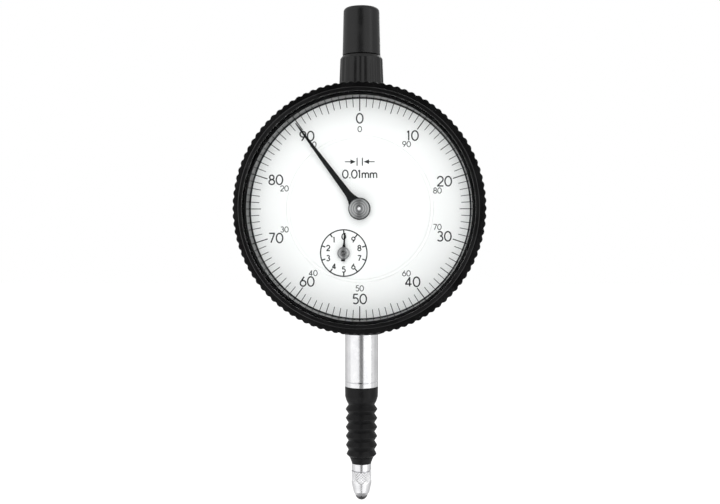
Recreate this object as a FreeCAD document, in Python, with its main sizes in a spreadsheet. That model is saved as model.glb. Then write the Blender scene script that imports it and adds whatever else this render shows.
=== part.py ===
"""Plunger dial indicator: one turn of the pointer for each millimetre of spindle travel.

+Z is up along the stem, +X is to the reader's right and -Y is towards the reader. The origin is on
the stem's axis, on the underside of the case, where the stem begins. Sizes are in millimetres.
Heights called "rise" are measured from the dial's centre, and depths are positions along Y.
"""
import FreeCAD, Part
import math
import os
import re

import Sketcher
from fcgear import fcgear, involute

DOC = FreeCAD.newDocument("DialIndicator")
SHEET = DOC.addObject("Spreadsheet::Sheet", "Sizes")
NODES = {}

# Driving dimensions: each name becomes a spreadsheet alias. Depths grow away from the reader.
SIZES = {
    # dial centre above the case's underside
    "dial_height": 30.0,
    # bezel: the ring that carries the crystal and turns the graduated dial
    "bezel_radius": 29.15,
    "bezel_bore": 26.5,
    "bezel_back": -5.0,
    "bezel_skirt_radius": 28.1,
    "bezel_front": -15.6,
    "knurl_back": -6.2,
    "knurl_front": -12.8,
    "knurl_bevel": 0.8,
    "knurl_tool_radius": 0.55,
    "knurl_tool_offset": 0.15,
    "knurl_count": 100,
    "nose_radius": 27.9,
    "nose_front_radius": 27.45,
    "nose_rounding": 0.4,
    "wall_chamfer": 0.25,
    "crystal_seat": -13.1,
    "seat_bore": 25.95,
    "seat_back_bore": 25.7,
    # crystal, its gasket, the turning dial ring and the ring that holds it
    "crystal_radius": 26.46,
    "crystal_back": -13.35,
    "crystal_front": -14.9,
    "crystal_bevel": 0.3,
    "crystal_gasket_bore": 25.98,
    "dial_ring_radius": 26.45,
    "dial_ring_bore": 17.35,
    "dial_ring_front": -8.1,
    "dial_ring_back": -7.6,
    "retainer_bore": 25.4,
    "retainer_back": -7.1,
    # case ring and the neck that the bezel turns on
    "case_radius": 26.9,
    "case_bore": 24.2,
    "case_step": -4.8,
    "case_back": 5.6,
    "case_chamfer": 0.5,
    "neck_radius": 26.43,
    "neck_front": -7.0,
    # snap wire between neck and bezel, and the seal in front of it
    "snap_wire_radius": 0.25,
    "snap_wire_ring": 26.45,
    "snap_wire_depth": -5.6,
    "snap_groove_half": 0.28,
    "snap_groove_floor": 26.15,
    "snap_groove_roof": 26.78,
    "seal_radius": 0.3,
    "seal_ring": 26.17,
    "seal_depth": -6.5,
    "seal_groove_half": 0.33,
    "seal_groove_floor": 25.84,
    # bosses of the case
    "boss_radius": 4.9,
    "boss_inner_rise": 22.0,
    "top_boss_radius": 5.6,
    "top_boss_rise": 29.3,
    "top_neck_radius": 4.4,
    "top_neck_rise": 33.0,
    "corner_offset": 15.4,
    "corner_boss_radius": 2.6,
    # stem, clamped at eight millimetres
    "stem_radius": 4.0,
    "stem_clamp_length": 11.6,
    "stem_groove_depth": 0.2,
    "stem_groove_width": 0.2,
    "stem_end": 12.9,
    "stem_nose_radius": 3.4,
    "stem_nose_end": 16.6,
    "stem_shank_radius": 3.8,
    "press_gap": 0.02,
    "screw_gap": 0.05,
    # bushes that guide the spindle
    "bush_bore": 2.53,
    "bush_radius": 3.0,
    "bush_length": 6.0,
    "upper_bush_radius": 3.5,
    # spindle with its rack
    "spindle_radius": 2.5,
    "spindle_top": 33.0,
    "spindle_chamfer": 0.3,
    "spindle_foot": -59.4,
    "spindle_neck_radius": 1.9,
    "spindle_neck_end": -61.65,
    "spindle_end_radius": 2.35,
    "spindle_end": -63.2,
    "contact_bore": 1.05,
    "contact_bore_top": -59.8,
    "rack_pitch": 0.625,
    "rack_pitch_line": -2.13,
    "rack_addendum": 0.2,
    "rack_dedendum": 0.25,
    "rack_backlash": 0.03,
    "rack_teeth": 23,
    "rack_gaps_above": 3,
    # contact point
    "contact_stud_radius": 1.0,
    "contact_stud_top": -60.0,
    "contact_radius": 2.4,
    "contact_bevel": 0.2,
    "contact_knurl_end": -66.7,
    "contact_tip_radius": 1.75,
    "contact_tip_end": -69.3,
    "ball_radius": 1.5,
    "ball_rise": -69.1,
    "ball_gap": 0.01,
    # bellows boot
    "boot_radius": 4.02,
    "boot_sleeve_low_radius": 3.97,
    "boot_sleeve_low": -45.2,
    "boot_shoulder_radius": 3.66,
    "boot_top": -43.0,
    "boot_sleeve_bore": 3.42,
    "boot_sleeve_end": -46.5,
    "boot_bore": 2.62,
    "boot_valley_radius": 3.16,
    "boot_first_valley": -47.4,
    "boot_fold_pitch": 2.19,
    "boot_fold_radius": 3.87,
    "boot_fold_taper": 0.03,
    "boot_folds": 6,
    "boot_lip_radius": 2.9,
    "boot_mouth_radius": 2.32,
    "boot_mouth_bore": 1.92,
    "boot_mouth_top": -60.1,
    "boot_mouth_end": -61.6,
    # fluted collar and cap over the spindle's top
    "collar_bottom": 29.35,
    "collar_bottom_radius": 5.4,
    "collar_top": 37.0,
    "collar_top_radius": 5.1,
    "collar_shoulder": 0.7,
    "collar_thread_bore": 4.45,
    "collar_bore": 3.1,
    "spigot_radius": 3.7,
    "spigot_top": 40.5,
    "flute_tool_radius": 0.6,
    "flute_tool_offset": 0.3,
    "flute_top": 36.0,
    "flute_count": 20,
    "cap_bottom": 37.05,
    "cap_bottom_radius": 4.57,
    "cap_top": 48.45,
    "cap_top_radius": 4.3,
    "cap_rounding": 1.25,
    "cap_socket_radius": 3.76,
    "cap_socket_top": 41.0,
    "cap_bore": 3.2,
    "cap_bore_top": 47.0,
    # back cover with its lug
    "gasket_outer": 26.0,
    "gasket_bore": 24.6,
    "cover_front": 6.0,
    "cover_back": 8.0,
    "cover_radius": 26.3,
    "cover_bevel": 0.8,
    "lug_pad_radius": 10.0,
    "lug_pad_height": 0.6,
    "lug_half_width": 2.5,
    "lug_radius": 6.0,
    "lug_hole_radius": 3.25,
    "lug_hole_depth": 16.5,
    "cover_screw_head": 1.75,
    "cover_screw_sink": 1.9,
    "cover_screw_floor": 6.8,
    "cover_screw_shank": 0.95,
    "cover_screw_reach": 1.5,
    "slot_width": 0.4,
    "slot_depth": 0.4,
    # movement plates
    "plate_radius": 23.4,
    "plate_flat": 21.8,
    "plate_front": -4.0,
    "plate_back": -3.0,
    "wheel_distance": 11.0,
    "arbor_across": 3.75,
    "arbor_rise": 10.341,
    "arbor_clear_radius": 1.2,
    "bridge_front": -6.7,
    "bridge_back": -5.9,
    "bridge_half_length": 13.6,
    "bridge_half_width": 2.3,
    "pillar_offset": 12.24,
    "pillar_radius": 1.3,
    "pillar_bore": 0.75,
    "cock_front": 3.2,
    "cock_back": 4.2,
    "cock_left": -10.6,
    "cock_right": -1.6,
    "cock_top": -4.1,
    "cock_bottom": -16.6,
    "cock_pillar_across": -8.5,
    "cock_pillar_spread": 4.15,
    # jewels: pivots turn in these holes
    "jewel_radius": 1.0,
    "jewel_seat": 1.02,
    "pivot_radius": 0.3,
    "hand_pivot_radius": 0.4,
    "pivot_gap": 0.03,
    # gear train
    "gear_module": 0.2,
    "wheel_teeth": 100,
    "wheel_shift": -0.6,
    "wheel_back": -4.5,
    "wheel_thickness": 0.5,
    "wheel_window_radius": 2.4,
    "wheel_window_ring": 5.6,
    "wheel_windows": 5,
    "pinion_teeth": 10,
    "pinion_shift": 0.4,
    "pinion_back": -4.35,
    "pinion_front": -5.15,
    "rack_pinion_teeth": 16,
    "rack_pinion_shift": 0.1,
    "rack_pinion_half": 1.7,
    "shaft_radius": 0.8,
    "thin_shaft_radius": 0.6,
    "shaft_end_play": 0.05,
    # hairspring
    "collet_radius": 1.0,
    "hairspring_inner": 1.5,
    "hairspring_growth": 0.45,
    "hairspring_turns": 6,
    "hairspring_strip": 0.12,
    "hairspring_front": -5.6,
    "hairspring_width": 0.3,
    # anti-rotation pin, its guide, the return spring and the rest buffer
    "guide_pin_radius": 0.8,
    "guide_pin_root": 0.9,
    "guide_pin_tip": 10.6,
    "guide_pin_rise": 6.0,
    "guide_left": 9.0,
    "guide_right": 11.6,
    "guide_bottom": 2.0,
    "guide_top": 19.0,
    "guide_rear": 2.4,
    "guide_wall": 0.6,
    "guide_slot_half": 0.86,
    "buffer_bottom": 3.6,
    "buffer_gap": 0.05,
    "return_coil_across": 7.2,
    "return_coil_radius": 1.05,
    "return_wire_radius": 0.2,
    "return_coil_pitch": 0.7,
    "return_coil_bottom": -10.4,
    "return_coil_top": 4.9,
    "anchor_radius": 0.6,
    "anchor_rise": -11.3,
    "anchor_end": 1.6,
    # dial, its posts and the hands
    "dial_radius": 17.25,
    "dial_front": -8.0,
    "dial_back": -7.5,
    "dial_centre_hole": 1.0,
    "dial_post_offset": 15.9,
    "dial_post_radius": 1.0,
    "dial_foot_radius": 0.6,
    "pointer_front": -9.75,
    "pointer_back": -9.5,
    "pointer_hub_radius": 2.58,
    "pointer_flare": 1.45,
    "pointer_flare_end": 4.6,
    "pointer_root_half": 0.66,
    "pointer_mid": 14.0,
    "pointer_mid_half": 0.5,
    "pointer_length": 24.7,
    "pointer_tip_half": 0.12,
    "pointer_angle": -36.7,
    "boss_front": -10.9,
    "pointer_boss_radius": 2.34,
    "pointer_boss_rounding": 0.25,
    "hand_front": -8.85,
    "hand_back": -8.65,
    "hand_hub_radius": 1.3,
    "hand_hub_front": -9.35,
    "hand_boss_radius": 1.46,
    "hand_boss_step": 0.75,
    "hand_root_half": 0.42,
    "hand_mid": 2.4,
    "hand_mid_half": 0.2,
    "hand_length": 4.77,
    "hand_tip_half": 0.18,
    "hand_tail": 1.9,
    "hand_tail_half": 0.45,
    "hand_angle": 3.6,
}


def fill_sheet():
    """Write every driving dimension to a named cell."""
    for row, (name, size_in_mm) in enumerate(SIZES.items(), start=1):
        cell = "B%d" % row
        SHEET.set("A%d" % row, name)
        SHEET.set(cell, str(size_in_mm))
        SHEET.setAlias(cell, name)
    DOC.recompute()


def bound(text):
    """Turn the size names in an expression into references to the sheet."""
    return re.sub(r"[a-z_]+", r"Sizes.\g<0>", text)


def size(text):
    """Work out an expression of size names as a number."""
    return float(SHEET.evalExpression(bound(text)))


def bind(part, **formulas):
    """Bind properties of a part; a double underscore in a name stands for a dot."""
    for name, text in formulas.items():
        part.setExpression(name.replace("__", "."), bound(text))


def node(part, label):
    """Give a finished sub-part the name of its file."""
    part.Label = label
    NODES[label] = part
    return part


# ---------------------------------------------------------------- sketched bodies

def new_body(label):
    """Body whose own origin is the dial's centre."""
    body = DOC.addObject("PartDesign::Body", "Body")
    body.Label = label
    bind(body, Placement__Base__z="dial_height")
    return body


def new_sketch(body, plane_role, offset="0"):
    """Sketch on one of the body's origin planes, moved along the plane's normal."""
    sketch = body.newObject("Sketcher::SketchObject", "Sketch")
    plane = next(item for item in body.Origin.OriginFeatures if item.Role == plane_role)
    sketch.AttachmentSupport = [(plane, "")]
    sketch.MapMode = "FlatFace"
    bind(sketch, AttachmentOffset__Base__z=offset)
    return sketch


def pin_point(sketch, edge, point, across, along):
    """Hold one point of a sketch at two bound distances from the sketch's origin."""
    for kind, text in (("DistanceX", across), ("DistanceY", along)):
        constraint = sketch.addConstraint(Sketcher.Constraint(kind, -1, 1, edge, point, size(text)))
        sketch.setExpression("Constraints[%d]" % constraint, bound(text))


def draw_outline(sketch, corners):
    """Closed outline of straight edges through corners given as pairs of expressions."""
    spots = [FreeCAD.Vector(size(across), size(along), 0) for across, along in corners]
    for start, end in zip(spots, spots[1:] + spots[:1]):
        sketch.addGeometry(Part.LineSegment(start, end), False)
    for edge in range(len(spots)):
        following = (edge + 1) % len(spots)
        sketch.addConstraint(Sketcher.Constraint("Coincident", edge, 2, following, 1))
    for edge, (across, along) in enumerate(corners):
        pin_point(sketch, edge, 1, across, along)


def draw_circle(sketch, radius, across="0", along="0"):
    """Circle with a bound radius and centre."""
    centre = FreeCAD.Vector(size(across), size(along), 0)
    circle = sketch.addGeometry(Part.Circle(centre, FreeCAD.Vector(0, 0, 1), size(radius)), False)
    constraint = sketch.addConstraint(Sketcher.Constraint("Radius", circle, size(radius)))
    sketch.setExpression("Constraints[%d]" % constraint, bound(radius))
    pin_point(sketch, circle, 3, across, along)


def revolve(body, sketch, axis_name):
    """Turn a sketch once round one of its own axes."""
    turned = body.newObject("PartDesign::Revolution", "Revolution")
    turned.Profile = sketch
    turned.ReferenceAxis = (sketch, [axis_name])
    turned.Angle = 360
    DOC.recompute()
    return turned


def turned_on_dial_axis(label, profile):
    """Body turned about the dial's axis from (radius, depth) corners."""
    body = new_body(label)
    sketch = new_sketch(body, "YZ_Plane")
    draw_outline(sketch, [(depth, radius) for radius, depth in profile])
    revolve(body, sketch, "H_Axis")
    return body


def turned_on_stem_axis(label, profile):
    """Body turned about the stem's axis from (radius, rise) corners."""
    body = new_body(label)
    sketch = new_sketch(body, "XZ_Plane")
    draw_outline(sketch, profile)
    revolve(body, sketch, "V_Axis")
    return body


def ring_edges(shape, radius, along, axis):
    """Names of the full circles of one radius at one place along an axis."""
    names = []
    for number, edge in enumerate(shape.Edges, start=1):
        curve = edge.Curve
        if not isinstance(curve, Part.Circle):
            continue
        place = curve.Center.y if axis == "Y" else curve.Center.z
        if abs(curve.Radius - size(radius)) < 1e-4 and abs(place - size(along)) < 1e-4:
            names.append("Edge%d" % number)
    return names


def round_ring(body, radius, along, axis, rounding):
    """Round the edge that runs round a turned body."""
    base = body.Tip
    fillet = body.newObject("PartDesign::Fillet", "Fillet")
    fillet.Base = (base, ring_edges(base.Shape, radius, along, axis))
    bind(fillet, Radius=rounding)
    DOC.recompute()


def pad_from(body, sketch, thickness):
    """Pad a sketch along its plane's normal."""
    pad = body.newObject("PartDesign::Pad", "Pad")
    pad.Profile = sketch
    bind(pad, Length=thickness)
    DOC.recompute()
    return pad


def cut_through(body, sketch):
    """Cut a sketch through the whole body, both ways."""
    pocket = body.newObject("PartDesign::Pocket", "Pocket")
    pocket.Profile = sketch
    pocket.Type = "ThroughAll"
    pocket.Midplane = True
    DOC.recompute()
    return pocket


def repeat_round(body, feature, sketch, count):
    """Repeat a feature evenly round its sketch's normal."""
    pattern = body.newObject("PartDesign::PolarPattern", "PolarPattern")
    pattern.Originals = [feature]
    pattern.Axis = (sketch, ["N_Axis"])
    pattern.Angle = 360
    bind(pattern, Occurrences=count)
    body.Tip = pattern
    DOC.recompute()


# ---------------------------------------------------------------- rods, blocks and booleans

def ordered(first, second):
    """Two expressions, the smaller one first."""
    return sorted((first, second), key=size)


def rod(axis, radius, start, end, across, depth, rise):
    """Solid rod between two places along an axis of the frame."""
    start, end = ordered(start, end)
    turn = {"X": FreeCAD.Rotation(FreeCAD.Vector(0, 1, 0), 90),
            "Y": FreeCAD.Rotation(FreeCAD.Vector(1, 0, 0), -90),
            "Z": FreeCAD.Rotation()}[axis]
    cylinder = DOC.addObject("Part::Cylinder", "Rod")
    cylinder.Placement = FreeCAD.Placement(FreeCAD.Vector(), turn)
    base = {"X": across, "Y": depth, "Z": rise}
    base[axis] = start
    bind(cylinder, Radius=radius, Height="(%s) - (%s)" % (end, start), Placement__Base__x=base["X"],
         Placement__Base__y=base["Y"], Placement__Base__z="dial_height + (%s)" % base["Z"])
    return cylinder


def rod_along_x(radius, left, right, depth="0", rise="0"):
    """Rod that runs from left to right."""
    return rod("X", radius, left, right, "0", depth, rise)


def rod_along_y(radius, front, back, across="0", rise="0"):
    """Rod parallel to the dial's axis."""
    return rod("Y", radius, front, back, across, "0", rise)


def rod_along_z(radius, bottom, top, across="0", depth="0"):
    """Rod parallel to the stem."""
    return rod("Z", radius, bottom, top, across, depth, "0")


def block(left, right, front, back, bottom, top):
    """Rectangular block between six faces."""
    box = DOC.addObject("Part::Box", "Block")
    bind(box, Length="(%s) - (%s)" % (right, left), Width="(%s) - (%s)" % (back, front),
         Height="(%s) - (%s)" % (top, bottom), Placement__Base__x=left, Placement__Base__y=front,
         Placement__Base__z="dial_height + (%s)" % bottom)
    return box


def fuse(*parts):
    """One solid from several overlapping ones."""
    fused = DOC.addObject("Part::MultiFuse", "Fuse")
    fused.Shapes = list(parts)
    return fused


def cut(base, *tools):
    """The base with every tool cut away."""
    remainder = DOC.addObject("Part::Cut", "Cut")
    remainder.Base = base
    remainder.Tool = tools[0] if len(tools) == 1 else fuse(*tools)
    return remainder


def common(first, second):
    """The space that two parts share."""
    shared = DOC.addObject("Part::MultiCommon", "Common")
    shared.Shapes = [first, second]
    return shared


def group(*parts):
    """Separate solids kept together."""
    gathered = DOC.addObject("Part::Compound", "Group")
    gathered.Links = list(parts)
    return gathered


def tube_along_y(radius, bore, front, back, place=("0", "0")):
    """Tube parallel to the dial's axis."""
    return cut(rod_along_y(radius, front, back, *place), rod_along_y(bore, front, back, *place))


def slotted_screw(place, head_radius, head_top, head_seat, shank_radius, shank_end):
    """Screw along Y from the top of its slotted head to the end of its shank."""
    across, rise = place
    head = rod_along_y(head_radius, head_top, head_seat, across, rise)
    shank = rod_along_y(shank_radius, head_seat, shank_end, across, rise)
    inward = "+" if size(head_top) < size(head_seat) else "-"
    front, back = ordered(head_top, "%s %s slot_depth" % (head_top, inward))
    slot = block("(%s) - %s" % (across, head_radius), "(%s) + %s" % (across, head_radius), front, back,
                 "(%s) - slot_width / 2" % rise, "(%s) + slot_width / 2" % rise)
    return cut(fuse(head, shank), slot)


CENTRE = ("0", "0")
COUNTER = ("-arbor_across", "-arbor_rise")
TAKEUP = ("arbor_across", "arbor_rise")
CORNERS = [(across, rise) for across in ("corner_offset", "-corner_offset")
           for rise in ("corner_offset", "-corner_offset")]


def beside_train(offset):
    """Place on the line through the dial's centre that is square to the line of arbors."""
    return ("%s * arbor_rise / wheel_distance" % offset, "-(%s) * arbor_across / wheel_distance" % offset)


BRIDGE_PILLARS = [beside_train("pillar_offset"), beside_train("-pillar_offset")]
DIAL_POSTS = [beside_train("dial_post_offset"), beside_train("-dial_post_offset")]
COCK_PILLARS = [("cock_pillar_across", "cock_pillar_spread - arbor_rise"),
                ("cock_pillar_across", "-cock_pillar_spread - arbor_rise")]


def train_lean():
    """Lean from upright of the line through the three arbors, in degrees."""
    return math.degrees(math.atan2(size("arbor_across"), size("arbor_rise")))


# ---------------------------------------------------------------- case and back

def make_case_body():
    """Ring, neck, top and bottom bosses and four corner bosses, in one casting."""
    ring = turned_on_dial_axis("case_ring", [
        ("neck_radius", "neck_front"),
        ("neck_radius", "seal_depth - seal_groove_half"),
        ("seal_groove_floor", "seal_depth - seal_groove_half"),
        ("seal_groove_floor", "seal_depth + seal_groove_half"),
        ("neck_radius", "seal_depth + seal_groove_half"),
        ("neck_radius", "snap_wire_depth - snap_groove_half"),
        ("snap_groove_floor", "snap_wire_depth - snap_groove_half"),
        ("snap_groove_floor", "snap_wire_depth + snap_groove_half"),
        ("neck_radius", "snap_wire_depth + snap_groove_half"),
        ("neck_radius", "case_step"),
        ("case_radius", "case_step"),
        ("case_radius", "case_back - case_chamfer"),
        ("case_radius - case_chamfer", "case_back"),
        ("case_bore", "case_back"),
        ("case_bore", "neck_front")])
    bottom = common(rod_along_z("boss_radius", "-dial_height", "-boss_inner_rise"),
                    block("-boss_radius", "boss_radius", "case_step", "case_back",
                          "-dial_height", "-boss_inner_rise"))
    top = common(rod_along_z("top_boss_radius", "boss_inner_rise", "top_boss_rise"),
                 block("-top_boss_radius", "top_boss_radius", "case_step", "case_back",
                       "boss_inner_rise", "top_boss_rise"))
    neck = rod_along_z("top_neck_radius", "case_bore", "top_neck_rise")
    corners = [rod_along_y("corner_boss_radius", "plate_back", "case_back", *place) for place in CORNERS]
    casting = fuse(ring, bottom, top, neck, *corners)
    stem_hole = rod_along_z("stem_shank_radius + screw_gap", "-dial_height", "-boss_inner_rise")
    top_hole = rod_along_z("upper_bush_radius + press_gap", "boss_inner_rise", "top_neck_rise")
    front_taps = [rod_along_y("pillar_bore", "plate_back", "0", *place) for place in CORNERS]
    back_taps = [rod_along_y("cover_screw_shank + screw_gap", "cover_screw_reach", "case_back", *place)
                 for place in CORNERS]
    node(cut(casting, stem_hole, top_hole, *front_taps, *back_taps), "case_body")


def make_lug_back():
    """Cover with a raised pad and an upright mounting lug across its middle."""
    disc = turned_on_dial_axis("cover_disc", [
        ("0", "cover_front"),
        ("cover_radius", "cover_front"),
        ("cover_radius", "cover_back - cover_bevel"),
        ("cover_radius - cover_bevel", "cover_back"),
        ("lug_pad_radius", "cover_back"),
        ("lug_pad_radius - lug_pad_height", "cover_back + lug_pad_height"),
        ("0", "cover_back + lug_pad_height")])
    shank = block("-lug_half_width", "lug_half_width", "cover_front", "lug_hole_depth",
                  "-lug_radius", "lug_radius")
    eye = rod_along_x("lug_radius", "-lug_half_width", "lug_half_width", "lug_hole_depth")
    lug_hole = rod_along_x("lug_hole_radius", "-lug_half_width", "lug_half_width", "lug_hole_depth")
    sinks = [rod_along_y("cover_screw_sink", "cover_screw_floor", "cover_back", *place) for place in CORNERS]
    holes = [rod_along_y("cover_screw_shank + screw_gap", "cover_front", "cover_screw_floor", *place)
             for place in CORNERS]
    node(cut(fuse(disc, shank, eye), lug_hole, *sinks, *holes), "lug_back")


def make_back_fasteners():
    """Gasket under the cover and the four screws that hold it."""
    node(tube_along_y("gasket_outer", "gasket_bore", "case_back", "cover_front"), "back_gasket")
    node(group(*[slotted_screw(place, "cover_screw_head", "cover_back", "cover_screw_floor",
                               "cover_screw_shank", "cover_screw_reach + screw_gap")
                 for place in CORNERS]), "back_screws")


def make_stem():
    """Tube that a stand clamps, with a shank in the case and a nose under the boot."""
    node(turned_on_stem_axis("stem", [
        ("bush_radius + press_gap", "-boss_inner_rise - press_gap"),
        ("stem_shank_radius", "-boss_inner_rise - press_gap"),
        ("stem_shank_radius", "-dial_height"),
        ("stem_radius", "-dial_height"),
        ("stem_radius", "-dial_height - stem_clamp_length"),
        ("stem_radius - stem_groove_depth", "-dial_height - stem_clamp_length"),
        ("stem_radius - stem_groove_depth", "-dial_height - stem_clamp_length - stem_groove_width"),
        ("stem_radius", "-dial_height - stem_clamp_length - stem_groove_width"),
        ("stem_radius", "-dial_height - stem_end"),
        ("stem_nose_radius", "-dial_height - stem_end"),
        ("stem_nose_radius", "-dial_height - stem_nose_end"),
        ("bush_radius + press_gap", "-dial_height - stem_nose_end")]), "stem")


def bush(radius, bottom, top):
    """Plain bearing tube on the stem's axis."""
    return cut(rod_along_z(radius, bottom, top), rod_along_z("bush_bore", bottom, top))


def make_bushes():
    """Two bushes in the stem and one in the top boss."""
    lower_end = "-dial_height - stem_nose_end + buffer_gap"
    node(group(bush("bush_radius", "-boss_inner_rise - bush_length", "-boss_inner_rise - buffer_gap"),
               bush("bush_radius", lower_end, lower_end + " + bush_length")), "stem_bushes")
    node(bush("upper_bush_radius", "boss_inner_rise", "top_boss_rise"), "upper_bush")


def make_snap_wire_and_seal():
    """Rings between the case's neck and the bezel."""
    for label, name in (("bezel_snap_wire", "snap_wire"), ("bezel_seal", "seal")):
        torus = DOC.addObject("Part::Torus", "Ring")
        torus.Placement = FreeCAD.Placement(FreeCAD.Vector(), FreeCAD.Rotation(FreeCAD.Vector(1, 0, 0), 90))
        bind(torus, Radius1=name + "_ring", Radius2=name + "_radius", Placement__Base__y=name + "_depth",
             Placement__Base__z="dial_height")
        node(torus, label)


def make_boot():
    """Bellows from the stem's nose to the spindle's neck, as one closed skin."""
    outside = [("boot_sleeve_bore", "boot_top"), ("boot_radius", "boot_top"),
               ("boot_sleeve_low_radius", "boot_sleeve_low"), ("boot_shoulder_radius", "boot_sleeve_end")]
    for fold in range(size_count("boot_folds")):
        valley = "boot_first_valley - %d * boot_fold_pitch" % fold
        outside.append(("boot_valley_radius", valley))
        outside.append(("boot_fold_radius - %d * boot_fold_taper" % fold, valley + " - boot_fold_pitch / 2"))
    outside += [("boot_lip_radius", "boot_mouth_top"), ("boot_mouth_radius", "boot_mouth_end"),
                ("boot_mouth_bore", "boot_mouth_end"), ("boot_mouth_bore", "boot_mouth_top"),
                ("boot_bore", "boot_mouth_top + boot_bore - boot_mouth_bore"),
                ("boot_bore", "-dial_height - stem_nose_end - buffer_gap"),
                ("boot_sleeve_bore", "-dial_height - stem_nose_end - buffer_gap")]
    node(turned_on_stem_axis("boot", outside), "boot")


def size_count(name):
    """A size that counts things, as a whole number."""
    return int(round(size(name)))


# ---------------------------------------------------------------- bezel and dial front

def make_bezel():
    """Ring with a scalloped grip, a rounded nose and the seats of the crystal and dial."""
    bezel = turned_on_dial_axis("bezel", [
        ("bezel_bore", "bezel_back"),
        ("bezel_skirt_radius", "bezel_back"),
        ("bezel_skirt_radius", "knurl_back + knurl_bevel / 4"),
        ("bezel_radius", "knurl_back - knurl_bevel / 4"),
        ("bezel_radius", "knurl_front + knurl_bevel / 4"),
        ("bezel_skirt_radius", "knurl_front - knurl_bevel"),
        ("nose_radius", "knurl_front - knurl_bevel"),
        ("nose_front_radius", "bezel_front"),
        ("bezel_bore + wall_chamfer", "bezel_front"),
        ("bezel_bore", "bezel_front + wall_chamfer"),
        ("bezel_bore", "crystal_seat"),
        ("seat_bore", "crystal_seat"),
        ("seat_back_bore", "dial_ring_front - buffer_gap"),
        ("bezel_bore", "dial_ring_front - buffer_gap"),
        ("bezel_bore", "snap_wire_depth - snap_groove_half"),
        ("snap_groove_roof", "snap_wire_depth - snap_groove_half"),
        ("snap_groove_roof", "snap_wire_depth + snap_groove_half"),
        ("bezel_bore", "snap_wire_depth + snap_groove_half")])
    round_ring(bezel, "nose_front_radius", "bezel_front", "Y", "nose_rounding")
    scallop = new_sketch(bezel, "XZ_Plane")
    draw_circle(scallop, "knurl_tool_radius", "0", "bezel_radius + knurl_tool_offset")
    repeat_round(bezel, cut_through(bezel, scallop), scallop, "knurl_count")
    node(bezel, "bezel")


def make_crystal():
    """Flat window with bevelled rims, and the gasket that it is pressed against."""
    node(turned_on_dial_axis("crystal", [
        ("0", "crystal_back"),
        ("crystal_radius", "crystal_back"),
        ("crystal_radius", "crystal_front + crystal_bevel"),
        ("crystal_radius - crystal_bevel", "crystal_front"),
        ("0", "crystal_front")]), "crystal")
    node(tube_along_y("crystal_radius", "crystal_gasket_bore", "crystal_back", "crystal_seat - press_gap"),
         "crystal_gasket")


def make_dials():
    """Graduated ring that turns with the bezel, its holder, and the fixed dial inside it."""
    ring = tube_along_y("dial_ring_radius", "dial_ring_bore", "dial_ring_front", "dial_ring_back")
    node(ring, "dial_ring")
    retainer = tube_along_y("dial_ring_radius", "retainer_bore", "dial_ring_back", "retainer_back")
    node(retainer, "dial_retainer")
    disc = rod_along_y("dial_radius", "dial_front", "dial_back")
    feet = [rod_along_y("dial_foot_radius", "dial_front + buffer_gap", "plate_front", *place)
            for place in DIAL_POSTS]
    holes = [rod_along_y("dial_centre_hole", "dial_front", "dial_back", *place)
             for place in (CENTRE, COUNTER)]
    node(cut(fuse(disc, *feet), *holes), "dial")
    node(group(*[tube_along_y("dial_post_radius", "dial_foot_radius + press_gap", "dial_back", "plate_front",
                              place) for place in DIAL_POSTS]), "dial_posts")


# ---------------------------------------------------------------- spindle and what rides on it

def make_spindle():
    """Rod with a rack on its left, a necked foot and a socket for the contact point."""
    blank = turned_on_stem_axis("spindle_blank", [
        ("0", "spindle_top"),
        ("spindle_radius - spindle_chamfer", "spindle_top"),
        ("spindle_radius", "spindle_top - spindle_chamfer"),
        ("spindle_radius", "spindle_foot"),
        ("spindle_neck_radius", "spindle_foot"),
        ("spindle_neck_radius", "spindle_neck_end"),
        ("spindle_end_radius", "spindle_neck_end"),
        ("spindle_end_radius", "spindle_end"),
        ("contact_bore", "spindle_end"),
        ("contact_bore", "contact_bore_top"),
        ("0", "contact_bore_top")])
    flank = math.tan(math.radians(20))
    tip_line = "rack_pitch_line - rack_addendum"
    upper_gap = "rack_gaps_above * rack_pitch - arbor_rise"
    flat = new_sketch(blank, "XZ_Plane")
    draw_outline(flat, [
        (tip_line, upper_gap + " + rack_pitch / 2"),
        ("-spindle_radius - rack_addendum", upper_gap + " + rack_pitch / 2"),
        ("-spindle_radius - rack_addendum", upper_gap + " - (rack_teeth - 0.5) * rack_pitch"),
        (tip_line, upper_gap + " - (rack_teeth - 0.5) * rack_pitch")])
    cut_through(blank, flat)
    wide = "(rack_pitch / 4 + rack_backlash / 2 + rack_addendum * %.6f)" % flank
    narrow = "(rack_pitch / 4 + rack_backlash / 2 - rack_dedendum * %.6f)" % flank
    gap = new_sketch(blank, "XZ_Plane")
    draw_outline(gap, [
        (tip_line, "%s + %s" % (upper_gap, wide)),
        (tip_line, "%s - %s" % (upper_gap, wide)),
        ("rack_pitch_line + rack_dedendum", "%s - %s" % (upper_gap, narrow)),
        ("rack_pitch_line + rack_dedendum", "%s + %s" % (upper_gap, narrow))])
    rack = blank.newObject("PartDesign::LinearPattern", "Rack")
    rack.Originals = [cut_through(blank, gap)]
    rack.Direction = (gap, ["V_Axis"])
    rack.Reversed = True
    bind(rack, Length="(rack_teeth - 1) * rack_pitch", Occurrences="rack_teeth")
    blank.Tip = rack
    DOC.recompute()
    pin_hole = rod_along_x("guide_pin_radius + press_gap", "guide_pin_root - press_gap", "guide_left",
                           "0", "guide_pin_rise")
    node(cut(blank, pin_hole), "spindle")


def make_guide_pin():
    """Pin that keeps the spindle from turning and pulls on the return spring."""
    pin = rod_along_x("guide_pin_radius", "guide_pin_root", "guide_pin_tip", "0", "guide_pin_rise")
    node(pin, "guide_pin")


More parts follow.
